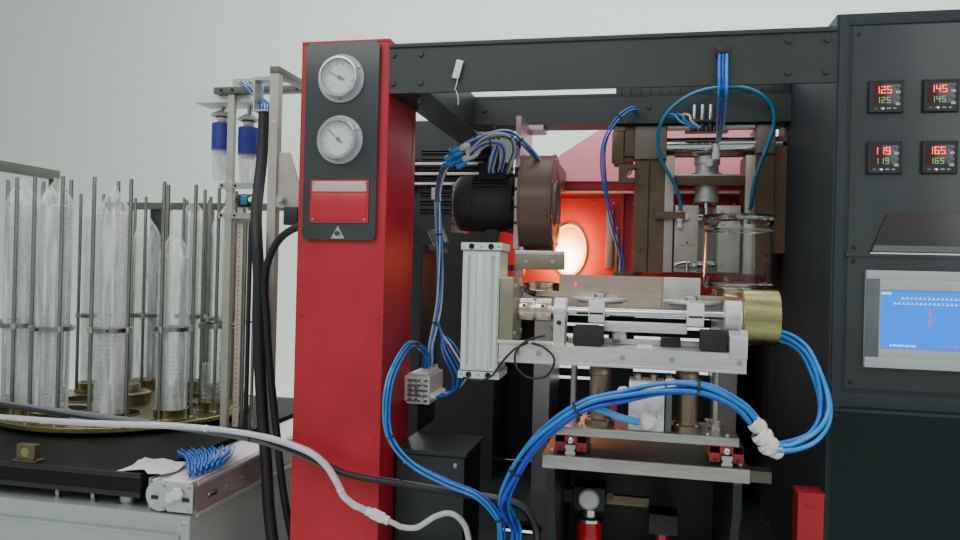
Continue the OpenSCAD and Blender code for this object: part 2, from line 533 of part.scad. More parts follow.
module conveyor_frame() color(steel) {
    difference() { bx([-291, -368, 975], [-285, 420, 1042]); for (y = [-330, 330]) bx([-292, y, 1000], [-284, y + 40, 1012]); }
    difference() { bx([-386, -368, 984], [-380, 420, 1042]); for (y = [-330, 330]) bx([-387, y, 1000], [-379, y + 40, 1012]); }
    difference() {
        cy([-357, -375, 1013], 58, 7, 40);
        bx([-357, -375, 984], [-285, -368, 1042]);
        for (x = [-365, -330]) bx([x - 8, -380, 1006], [x + 8, -360, 1012]);
        cy([-312, -380, 1024], 8, 20, 24);
    }
    for (y = [-250, 0, 250]) bx([-380, y, 990], [-291, y + 30, 1000]);
    for (y = [-200, 300]) bx([-380, y, 980], [-291, y + 30, 990]);
    cy([-312, -385, 1024], 16, 10, 6);
}
module conveyor_belt() color([0.9, 0.9, 0.88]) difference() {
    union() {
        for (y = [-340, 395]) cx([-378, y, 1022], 40, 84, 40);
        bx([-378, -340, 1002], [-294, 395, 1042]);
    }
    for (y = [-340, 395]) cx([-380, y, 1022], 36, 90, 40);
    bx([-380, -340, 1004], [-290, 395, 1040]);
}

module picker_frame() color(steel) {
    bx([-485, 40, 1048], [-468, 52, 1866]);
    difference() { bx([-520, 34, 1866], [-285, 58, 1880]); for (x = [-500, -420, -340]) cz([x, 46, 1860], 8, 30, 20); }
    bx([-285, -128, 1866], [-265, 58, 1880]);
    bx([-285, -128, 975], [-265, -108, 1866]);
    for (z = [1561, 1634]) { bx([-468, 40, z], [-402, 52, z + 14]); bx([-504, 40, z], [-485, 52, z + 14]); }
    bx([-354, -75, 1866], [-285, -45, 1874]);
    bx([-354, -75, 1796], [-350, -45, 1866]);
    bx([-350, -75, 1796], [-318, -45, 1800]);
    bx([-265, -126, 1575], [-120, -110, 1600]);
    bx([-120, -126, 1575], [-92, 300, 1600]);
    translate([0, -114, 0]) rotate([90, 0, 0]) linear_extrude(8) polygon([[-265, 1600], [-206, 1600], [-238, 1694], [-265, 1694]]);
    difference() { bx([-470, 34, 1880], [-352, 57, 1900]); for (x = [-450 : 22 : -370]) cz([x, 46, 1892], 9, 20, 20); }
}
module picker_head() color(pale) {
    bx([-590, 58.5, 1850], [-440, 66, 1884]);
    difference() { bx([-590, 66, 1850], [-440, 138, 1858]); for (x = [-570, -514, -456]) cz([x, 120, 1840], 7, 30, 20); }
    for (h = [[-551, 0], [-476, -12]]) translate([h.x, 126, h.y]) {
        cz([0, 0, 1836], 9, 14 - h.y, 20);
        translate([0, 0, 1828]) cylinder(d1 = 56, d2 = 46, h = 8, $fn = 40);
        translate([0, 0, 1810]) cylinder(d1 = 18, d2 = 34, h = 18, $fn = 40);
        cz([0, 0, 1740], 50, 70, 48);
        cz([0, 0, 1732], 34, 8, 40);
    }
}

module blue_hoses() color(blue) {
    tube(way_main, 20, 5, 10);
    tube(way_column, 14, 5, 8);
    tube(way_mould, 12, 5, 8);
    tube(way_stretch, 8, 5, 8);
}
module tube_connector() color([0.9, 0.9, 0.88]) translate([68.2, -421, 1038]) rotate([0, 109, 0]) {
    translate([0, 0, 0.4]) cylinder(d = 15, h = 10, $fn = 32);
    translate([0, 0, 10.4]) cylinder(d = 20, h = 22, $fn = 6);
    translate([0, 0, 32.4]) cylinder(d = 15, h = 10, $fn = 32);
}
module swivel_hose() color(blue) tube(way_swivel, 20, 5, 10);
module thin_tubes() color(blue) {
    tube(way_motor, 14, 5, 8);
    tube(way_branch, 16, 5, 8);
    tube(way_clear, 10, 5, 8);
}
module dark_cables() color(black) {
    tube(way_conduit, 26, 5, 10);
    tube(way_black, 14, 5, 8);
    tube(way_white, 12, 5, 8);
}

base_frame();
levelling_feet();
lower_panels();
front_column();
gauge_panel();
instruction_plate();
pressure_gauges();
gauge_lenses();
gauge_needle_upper();
gauge_needle_lower();
top_frame();
control_cabinet();
cabinet_door();
control_panel();
temperature_controllers();
touch_screen();
rear_covers();
oven_front_panel();
tinted_window();
oven_housing();
oven_lamps();
blower_bracket();
blower_motor();
blower_housing();
blower_impeller();
clamp_frame();
tie_bars();
mold_half_left();
mold_half_right();
stretch_cylinder();
stretch_rod();
valve_manifold();
junction_box();
corner_channel();
bench_support();
linear_rails();
transfer_carriage();
lift_cylinders();
bench_bar();
rotary_actuator();
rubber_stops();
flip_shaft();
flip_plate();
brass_roller();
clear_jar();
feeder_cabinet();
feeder_door();
feeder_table();
conveyor_frame();
conveyor_belt();
turntable();
cage_rods();
cup_stacks();
picker_frame();
picker_head();
tube_connector();
blue_hoses();
swivel_hose();
thin_tubes();
dark_cables();
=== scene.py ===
import math
import random
import bpy
import bmesh
from mathutils import Vector, Matrix, noise


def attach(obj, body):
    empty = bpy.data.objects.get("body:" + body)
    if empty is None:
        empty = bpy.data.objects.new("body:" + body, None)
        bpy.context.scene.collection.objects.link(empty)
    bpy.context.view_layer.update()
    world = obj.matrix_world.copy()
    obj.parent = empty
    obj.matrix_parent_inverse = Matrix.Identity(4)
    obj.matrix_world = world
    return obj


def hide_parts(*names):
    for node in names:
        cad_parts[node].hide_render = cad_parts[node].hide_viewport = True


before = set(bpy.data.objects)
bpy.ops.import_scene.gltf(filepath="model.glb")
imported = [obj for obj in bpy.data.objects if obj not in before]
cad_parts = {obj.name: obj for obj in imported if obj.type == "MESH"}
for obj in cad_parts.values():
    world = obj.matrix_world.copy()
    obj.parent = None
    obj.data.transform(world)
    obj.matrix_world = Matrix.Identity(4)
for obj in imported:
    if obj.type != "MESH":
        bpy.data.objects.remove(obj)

random.seed(7)
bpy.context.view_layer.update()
MM = 0.001

# ---------------------------------------------------------------- camera
PSI = math.radians(12)
ROLL = 0.0253
fwd = Vector((-math.sin(PSI), math.cos(PSI), 0))
rgt = Vector((math.cos(PSI), math.sin(PSI), 0))
up = Vector((0, 0, 1))
cx_axis = rgt * math.cos(ROLL) + up * math.sin(ROLL)
cy_axis = -rgt * math.sin(ROLL) + up * math.cos(ROLL)
cam_data = bpy.data.cameras.new("camera")
cam = bpy.data.objects.new("camera", cam_data)
bpy.context.scene.collection.objects.link(cam)
cam_data.sensor_width = 36
cam_data.lens = 36 * 750 / 960
cam_data.clip_start = 0.05
m = Matrix.Identity(4)
for i in range(3):
    m[i][0] = cx_axis[i]; m[i][1] = cy_axis[i]; m[i][2] = -fwd[i]
m[0][3], m[1][3], m[2][3] = 0.510, -1.625, 1.450
cam.matrix_world = m
bpy.context.scene.camera = cam


# ---------------------------------------------------------------- materials
def ramp(nt, fac, c0, c1, p0=0.3, p1=0.7):
    r = nt.nodes.new("ShaderNodeValToRGB")
    r.color_ramp.elements[0].position = p0; r.color_ramp.elements[1].position = p1
    r.color_ramp.elements[0].color = (*c0, 1); r.color_ramp.elements[1].color = (*c1, 1)
    nt.links.new(fac, r.inputs[0])
    return r.outputs[0]


def M(name, col, rough=0.45, metal=0.0, var=0.10, scale=9.0, bump=0.05, bscale=260.0, rvar=0.08, stretch=(1, 1, 1),
      coat=0.0, emit=None, es=0.0, trans=0.0, alpha=1.0, ior=1.45, wear=None, dirt=0.0):
    mt = bpy.data.materials.new(name)
    mt.use_nodes = True
    nt = mt.node_tree
    b = nt.nodes["Principled BSDF"]
    tc = nt.nodes.new("ShaderNodeTexCoord")
    mp = nt.nodes.new("ShaderNodeMapping")
    mp.inputs["Scale"].default_value = stretch
    nt.links.new(tc.outputs["Object"], mp.inputs[0])
    n1 = nt.nodes.new("ShaderNodeTexNoise")
    n1.inputs["Scale"].default_value = scale; n1.inputs["Detail"].default_value = 5
    nt.links.new(mp.outputs[0], n1.inputs["Vector"])
    lo = [max(0, c * (1 - var)) for c in col]; hi = [min(1, c * (1 + var)) for c in col]
    colour = ramp(nt, n1.outputs[0], lo, hi)
    if dirt:
        n3 = nt.nodes.new("ShaderNodeTexNoise")
        n3.inputs["Scale"].default_value = 2.6; n3.inputs["Detail"].default_value = 8; n3.inputs["Roughness"].default_value = 0.7
        nt.links.new(tc.outputs["Object"], n3.inputs["Vector"])
        fac = ramp(nt, n3.outputs[0], (0, 0, 0), (dirt, dirt, dirt), 0.45, 0.75)
        mx = nt.nodes.new("ShaderNodeMix"); mx.data_type = "RGBA"
        nt.links.new(fac, mx.inputs[0]); nt.links.new(colour, mx.inputs[6])
        mx.inputs[7].default_value = (*[c * 0.35 for c in col], 1)
        colour = mx.outputs[2]
    nt.links.new(colour, b.inputs["Base Color"])
    n2 = nt.nodes.new("ShaderNodeTexNoise")
    n2.inputs["Scale"].default_value = bscale; n2.inputs["Detail"].default_value = 3
    nt.links.new(mp.outputs[0], n2.inputs["Vector"])
    mr = nt.nodes.new("ShaderNodeMapRange")
    mr.inputs["To Min"].default_value = max(0.02, rough - rvar); mr.inputs["To Max"].default_value = min(1, rough + rvar)
    nt.links.new(n1.outputs[0], mr.inputs[0])
    nt.links.new(mr.outputs[0], b.inputs["Roughness"])
    bp = nt.nodes.new("ShaderNodeBump")
    bp.inputs["Strength"].default_value = min(1, bump * 4); bp.inputs["Distance"].default_value = 0.0006
    nt.links.new(n2.outputs[0], bp.inputs["Height"])
    nt.links.new(bp.outputs[0], b.inputs["Normal"])
    b.inputs["Metallic"].default_value = metal
    b.inputs["Coat Weight"].default_value = coat
    b.inputs["Coat Roughness"].default_value = 0.12
    b.inputs["Transmission Weight"].default_value = trans
    b.inputs["Alpha"].default_value = alpha
    b.inputs["IOR"].default_value = ior
    if emit:
        b.inputs["Emission Color"].default_value = (*emit, 1)
        b.inputs["Emission Strength"].default_value = es
    mt.diffuse_color = (*col, 1)
    return mt


FRAME = M("frame_paint", (0.027, 0.036, 0.036), 0.50, var=0.12, bump=0.05, bscale=500, dirt=0.35, coat=0.04)
CAB = M("cabinet_paint", (0.018, 0.030, 0.034), 0.60, var=0.10, bump=0.06, bscale=650, dirt=0.25)
TABLE = M("table_black", (0.010, 0.012, 0.010), 0.66, var=0.2, bump=0.12, bscale=420, dirt=0.3, ior=1.25)
JUNC = M("junction_paint", (0.009, 0.018, 0.024), 0.55, var=0.10, bump=0.06, bscale=650, dirt=0.25, ior=1.28)
DOORP = M("door_paint", (0.008, 0.016, 0.017), 0.55, var=0.10, bump=0.06, bscale=650, dirt=0.25, ior=1.28)
RED = M("red_paint", (0.42, 0.013, 0.027), 0.46, var=0.10, bump=0.05, bscale=600, dirt=0.22, coat=0.06)
OVRED = M("oven_red_paint", (0.50, 0.030, 0.045), 0.44, var=0.16, bump=0.05, bscale=420, dirt=0.4, coat=0.15)
PALE = M("pale_paint", (0.36, 0.41, 0.385), 0.42, var=0.06, bump=0.05, bscale=600, dirt=0.18, coat=0.1)
BLACKP = M("black_panel", (0.029, 0.038, 0.039), 0.22, var=0.2, bump=0.02, bscale=300, coat=0.5)
BLACK = M("black_metal", (0.018, 0.019, 0.021), 0.45, var=0.2, bump=0.12, bscale=420, dirt=0.3)
MOTOR = M("cast_black", (0.024, 0.021, 0.020), 0.5, var=0.2, bump=0.3, bscale=700)
RUB = M("rubber", (0.022, 0.022, 0.022), 0.75, var=0.2, bump=0.2, bscale=500)
CABLE = M("cable_black", (0.016, 0.017, 0.019), 0.5, var=0.2, bump=0.05, bscale=300)
CABG = M("cable_grey", (0.12, 0.13, 0.13), 0.55, var=0.15, bump=0.05, bscale=300)
PLB = M("black_plastic", (0.02, 0.021, 0.022), 0.5, var=0.15, bump=0.08, bscale=900)
WHITE = M("white_plastic", (0.72, 0.73, 0.71), 0.4, var=0.06, bump=0.04, bscale=400, dirt=0.15)
TAPE = M("white_tape", (0.74, 0.73, 0.69), 0.35, var=0.12, scale=60, bump=0.5, bscale=120)
SILV = M("silver_plastic", (0.42, 0.45, 0.47), 0.35, var=0.05, bump=0.03, bscale=700)
GREYP = M("grey_plastic", (0.115, 0.128, 0.145), 0.4, var=0.08, bump=0.05, bscale=700)
STEEL = M("brushed_steel", (0.50, 0.49, 0.46), 0.34, 1.0, var=0.12, scale=30, bump=0.12, bscale=90, stretch=(1, 14, 14), dirt=0.25)
STEELV = M("brushed_steel_upright", (0.48, 0.48, 0.46), 0.34, 1.0, var=0.14, scale=30, bump=0.12, bscale=90, stretch=(14, 14, 1), dirt=0.25)
POL = M("polished_plate", (0.68, 0.56, 0.45), 0.16, 1.0, var=0.08, scale=20, bump=0.05, bscale=60, stretch=(1, 10, 20))
ROD = M("cage_rod_steel", (0.27, 0.285, 0.26), 0.34, 1.0, var=0.15, scale=12, bump=0.05, bscale=200, stretch=(10, 10, 1))
CHROME = M("chrome", (0.74, 0.75, 0.77), 0.12, 1.0, var=0.05, bump=0.02, bscale=300)
ALU = M("anodised_aluminium", (0.60, 0.62, 0.60), 0.38, 0.55, var=0.06, scale=24, bump=0.08, bscale=120, stretch=(10, 10, 1))
ALUW = M("milled_aluminium", (0.66, 0.67, 0.65), 0.36, 0.65, var=0.07, scale=26, bump=0.1, bscale=140, stretch=(1, 10, 10))
ACT = M("actuator_aluminium", (0.62, 0.70, 0.64), 0.4, 0.25, var=0.05, scale=20, bump=0.06, bscale=140, stretch=(8, 8, 1))
OLIVE = M("olive_steel", (0.26, 0.245, 0.18), 0.42, 0.5, var=0.15, scale=20, bump=0.12, bscale=200)
BROWN = M("brown_steel", (0.145, 0.096, 0.062), 0.42, 0.35, var=0.2, scale=14, bump=0.12, bscale=240, dirt=0.3)
CAPB = M("grey_brown_cast", (0.19, 0.165, 0.135), 0.5, 0.15, var=0.12, scale=14, bump=0.15, bscale=240, dirt=0.2)
MOULD = M("mould_metal", (0.50, 0.47, 0.42), 0.42, 0.45, var=0.08, scale=20, bump=0.1, bscale=200, dirt=0.2)
BRASS = M("brass", (0.42, 0.40, 0.18), 0.28, 1.0, var=0.14, scale=18, bump=0.08, bscale=120, stretch=(1, 9, 9), dirt=0.2)
BRASSD = M("brass_dull", (0.17, 0.145, 0.085), 0.42, 0.75, var=0.25, scale=12, bump=0.14, bscale=160, dirt=0.4)
BRONZE = M("bronze_tube", (0.30, 0.235, 0.16), 0.34, 0.9, var=0.15, scale=20, bump=0.06, bscale=160, stretch=(10, 10, 1))
BLUE = M("blue_tube", (0.010, 0.19, 0.60), 0.26, var=0.14, scale=40, bump=0.03, bscale=200, coat=0.35)
BLUEL = M("blue_tube_light", (0.03, 0.30, 0.72), 0.24, var=0.14, scale=40, bump=0.03, bscale=200, coat=0.35)
BLUED = M("blue_tube_dark", (0.008, 0.055, 0.47), 0.28, var=0.14, scale=40, bump=0.03, bscale=200, coat=0.3)
DRUM = M("drum_paint", (0.140, 0.086, 0.066), 0.40, var=0.12, bump=0.1, bscale=400, dirt=0.25, coat=0.1)
TEAL = M("teal_tube", (0.012, 0.16, 0.30), 0.26, var=0.14, scale=40, bump=0.03, bscale=200, coat=0.35)
NAVY = M("blue_sleeve", (0.020, 0.030, 0.26), 0.42, var=0.14, scale=40, bump=0.1, bscale=300)
WIRE = M("white_wire", (0.55, 0.56, 0.60), 0.4, var=0.1, scale=40, bump=0.03, bscale=200)
CLEART = M("clear_tube", (0.62, 0.63, 0.62), 0.2, var=0.08, scale=50, bump=0.05, bscale=150, alpha=0.75, coat=0.4)
REDP = M("red_plastic", (0.33, 0.03, 0.035), 0.42, var=0.12, bump=0.08, bscale=600)
REDG = M("red_gloss", (0.55, 0.012, 0.02), 0.14, var=0.1, bump=0.01, coat=0.8, emit=None)
PLATE = M("red_plate", (0.46, 0.020, 0.036), 0.25, var=0.06, bump=0.03, coat=0.3)
PALEB = M("pale_band", (0.52, 0.42, 0.40), 0.3, var=0.07, bump=0.03, coat=0.3)
DIAL = M("dial_face", (0.70, 0.74, 0.74), 0.4, var=0.03, bump=0.02)
GLASS = M("clear_glass", (0.9, 0.94, 0.94), 0.04, var=0.02, bump=0.0, rvar=0.01, alpha=0.10)
JAR = M("clear_jar", (0.93, 0.95, 0.94), 0.04, var=0.03, scale=30, bump=0.04, bscale=60, rvar=0.02, trans=1.0, ior=1.32)
FILM = M("clear_film", (0.90, 0.96, 0.925), 0.14, var=0.06, scale=18, bump=0.9, bscale=45, rvar=0.06, alpha=0.50, coat=0.7)
CUP = M("clear_cup", (0.60, 0.67, 0.635), 0.16, var=0.08, scale=30, bump=0.1, bscale=100, alpha=0.55, coat=0.5)
# the pink sheet's emission is painted light shining through it from behind
PINK = M("pink_sheet", (0.95, 0.44, 0.48), 0.16, var=0.04, scale=4, bump=0.01, alpha=0.86, coat=0.4, emit=(0.80, 0.30, 0.42), es=0.34)
PINKST = M("pink_steel", (0.52, 0.40, 0.40), 0.34, 0.6, var=0.10, scale=24, bump=0.1, bscale=120, dirt=0.2)
LAMP = M("lamp_quartz", (1.0, 0.72, 0.36), 0.2, var=0.05, emit=(1.0, 0.60, 0.20), es=16)
GLOW = M("glow_white", (1.0, 0.86, 0.5), 0.4, var=0.05, emit=(1.0, 0.72, 0.30), es=14)
GLOWO = M("glow_orange", (0.10, 0.02, 0.008), 0.7, var=0.1, emit=(1.0, 0.17, 0.02), es=1.0)
SCREEN = M("screen_blue", (0.0, 0.03, 0.16), 0.5, var=0.05, emit=(0.0, 0.23, 1.0), es=1.4, ior=1.2)
SCRW = M("screen_pale", (0.6, 0.75, 0.9), 0.3, var=0.03, emit=(0.45, 0.65, 0.9), es=0.8)
SCRR = M("screen_red", (0.7, 0.05, 0.1), 0.3, var=0.03, emit=(0.75, 0.03, 0.12), es=0.9)
LEDR = M("led_red", (0.9, 0.05, 0.03), 0.3, var=0.03, emit=(1.0, 0.06, 0.03), es=3.5)
LEDG = M("led_green", (0.1, 0.5, 0.2), 0.3, var=0.03, emit=(0.10, 0.62, 0.22), es=0.75)
DISP = M("display_dark", (0.05, 0.008, 0.008), 0.15, var=0.1, bump=0.01, coat=0.6)
PICKF = M("grey_beige_steel", (0.40, 0.40, 0.36), 0.42, 0.25, var=0.08, scale=20, bump=0.08, bscale=200, dirt=0.2)
BEIGE = M("perforated_beige", (0.55, 0.47, 0.38), 0.5, var=0.12, scale=40, bump=0.2, bscale=300)
OLIVEP = M("olive_paint", (0.105, 0.11, 0.09), 0.42, var=0.10, bump=0.06, bscale=500, dirt=0.3, coat=0.1)
BRAKE = M("dark_gloss_sheet", (0.030, 0.026, 0.024), 0.14, var=0.15, scale=5, bump=0.01, coat=0.6)
CONV = M("conveyor_aluminium", (0.42, 0.315, 0.315), 0.36, 0.6, var=0.06, scale=24, bump=0.08, bscale=120, stretch=(1, 10, 10))
BELT = M("white_belt", (0.72, 0.72, 0.69), 0.5, var=0.06, bump=0.15, bscale=300)

def streaks(mt, lo, hi, sx=70, sz=5, p0=0.50, p1=0.66, white=(0.95, 0.96, 0.95)):
    """clear film with upright creases: a bump along them, and more opaque white streaks that are painted highlights"""
    nt = mt.node_tree; b = nt.nodes["Principled BSDF"]
    tc = nt.nodes.new("ShaderNodeTexCoord"); mp = nt.nodes.new("ShaderNodeMapping")
    mp.inputs["Scale"].default_value = (sx, sx, sz)
    nt.links.new(tc.outputs["Object"], mp.inputs[0])
    n = nt.nodes.new("ShaderNodeTexNoise"); n.inputs["Scale"].default_value = 1.0; n.inputs["Detail"].default_value = 4
    nt.links.new(mp.outputs[0], n.inputs["Vector"])
    nt.links.new(ramp(nt, n.outputs[0], (lo, lo, lo), (hi, hi, hi), p0, p1), b.inputs["Alpha"])
    bp = nt.nodes.new("ShaderNodeBump"); bp.inputs["Strength"].default_value = 0.9; bp.inputs["Distance"].default_value = 0.004
    nt.links.new(n.outputs[0], bp.inputs["Height"]); nt.links.new(bp.outputs[0], b.inputs["Normal"])
    return mt


def two_tone(mt, col, z, soft=0.004):
    """second colour under the height z"""
    nt = mt.node_tree; b = nt.nodes["Principled BSDF"]
    old = b.inputs["Base Color"].links[0].from_socket
    tc = nt.nodes.new("ShaderNodeTexCoord"); sp = nt.nodes.new("ShaderNodeSeparateXYZ")
    nt.links.new(tc.outputs["Object"], sp.inputs[0])
    mr = nt.nodes.new("ShaderNodeMapRange")
    mr.inputs["From Min"].default_value = z - soft; mr.inputs["From Max"].default_value = z + soft
    nt.links.new(sp.outputs[2], mr.inputs[0])
    mx = nt.nodes.new("ShaderNodeMix"); mx.data_type = "RGBA"
    mx.inputs[6].default_value = (*col, 1)
    nt.links.new(mr.outputs[0], mx.inputs[0]); nt.links.new(old, mx.inputs[7])
    nt.links.new(mx.outputs[2], b.inputs["Base Color"])
    nt.links.new(mr.outputs[0], b.inputs["Metallic"])
    return mt


def painted_glow(mt, at, size, stops, lo, hi, turb=0.16):
    """painted oven light: emission that fades from a hot spot, in the object's own coordinates"""
    nt = mt.node_tree; b = nt.nodes["Principled BSDF"]
    tc = nt.nodes.new("ShaderNodeTexCoord"); n = nt.nodes.new("ShaderNodeTexNoise")
    n.inputs["Scale"].default_value = 34; n.inputs["Detail"].default_value = 3
    nt.links.new(tc.outputs["Object"], n.inputs["Vector"])
    mp = nt.nodes.new("ShaderNodeMapping")
    mp.inputs["Location"].default_value = tuple(-a / q for a, q in zip(at, size))
    mp.inputs["Scale"].default_value = tuple(1 / q for q in size)
    nt.links.new(tc.outputs["Object"], mp.inputs[0])
    g = nt.nodes.new("ShaderNodeTexGradient"); g.gradient_type = "SPHERICAL"
    nt.links.new(mp.outputs[0], g.inputs[0])
    k = nt.nodes.new("ShaderNodeMath"); k.operation = "MULTIPLY_ADD"
    nt.links.new(n.outputs[0], k.inputs[0]); k.inputs[1].default_value = turb
    sb = nt.nodes.new("ShaderNodeMath"); sb.operation = "SUBTRACT"
    nt.links.new(g.outputs[1], sb.inputs[0]); sb.inputs[1].default_value = turb * 0.5
    nt.links.new(sb.outputs[0], k.inputs[2])
    r = nt.nodes.new("ShaderNodeValToRGB"); e = r.color_ramp.elements
    while len(e) < len(stops):
        e.new(0.5)
    for q, (pos, col) in zip(e, stops):
        q.position = pos; q.color = (*col, 1)
    nt.links.new(k.outputs[0], r.inputs[0])
    nt.links.new(r.outputs[0], b.inputs["Emission Color"])
    mr = nt.nodes.new("ShaderNodeMapRange")
    mr.inputs["To Min"].default_value = lo; mr.inputs["To Max"].default_value = hi
    nt.links.new(k.outputs[0], mr.inputs[0])
    nt.links.new(mr.outputs[0], b.inputs["Emission Strength"])
    return mt


# painted lamp light inside the oven mouth, brightest at the hot spot
painted_glow(GLOWO, (0.322, 0.285, 1.478), (0.090, 0.34, 0.108), [(0.0, (0.55, 0.03, 0.004)), (0.16, (1.0, 0.16, 0.010)), (0.34, (1.0, 0.40, 0.045)), (0.54, (1.0, 0.70, 0.22)), (0.80, (1.0, 0.90, 0.62))], 1.0, 16.0)
# painted oven light on the red front panel, fading out from the mouth
painted_glow(OVRED, (0.338, 0.200, 1.488), (0.150, 0.20, 0.165), [(0.0, (0.0, 0.0, 0.0)), (0.12, (0.0, 0.0, 0.0)), (0.5, (0.60, 0.075, 0.004)), (0.8, (1.0, 0.27, 0.015))], 0.0, 0.85, 0.03)
# opacity streaks on film and cups: painted highlights along the creases
streaks(FILM, 0.16, 0.62)
streaks(CUP, 0.14, 0.44, 64, 9, 0.44, 0.62)
BENCHST = two_tone(M("bench_steel", (0.165, 0.152, 0.122), 0.40, 1.0, var=0.12, scale=30, bump=0.12, bscale=90, stretch=(1, 14, 14), dirt=0.25), (0.014, 0.016, 0.017), 1.150)

for node, mt in {
        "base_frame": FRAME, "levelling_feet": STEEL, "lower_panels": FRAME, "front_column": RED, "gauge_panel": BLACKP,
        "instruction_plate": PLATE, "pressure_gauges": SILV, "gauge_lenses": GLASS, "gauge_needle_upper": BLACK,
        "gauge_needle_lower": BLACK, "top_frame": FRAME, "control_cabinet": CAB, "cabinet_door": DOORP, "control_panel": BLACKP,
        "temperature_controllers": PLB, "touch_screen": SILV, "rear_covers": FRAME, "oven_front_panel": OVRED, "tinted_window": PINK,
        "oven_housing": STEEL, "oven_lamps": LAMP, "blower_bracket": PINKST, "blower_motor": MOTOR, "blower_housing": DRUM,
        "blower_impeller": ALU, "clamp_frame": BROWN, "tie_bars": CHROME, "mold_half_left": MOULD, "mold_half_right": MOULD,
        "stretch_cylinder": ALU, "stretch_rod": CHROME, "valve_manifold": WHITE, "junction_box": JUNC, "corner_channel": RED,
        "bench_support": BENCHST, "linear_rails": CHROME, "transfer_carriage": STEEL, "lift_cylinders": BRONZE, "bench_bar": ALUW,
        "rotary_actuator": ACT, "rubber_stops": RUB, "flip_shaft": CHROME, "flip_plate": POL, "brass_roller": BRASS, "clear_jar": JAR,
        "feeder_cabinet": PALE, "feeder_door": PALE, "feeder_table": TABLE, "conveyor_frame": CONV, "conveyor_belt": BELT,
        "turntable": BRASSD, "cage_rods": ROD, "cup_stacks": CUP, "picker_frame": PICKF, "picker_head": WHITE,
        "tube_connector": WHITE}.items():
    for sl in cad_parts[node].material_slots:
        sl.material = mt


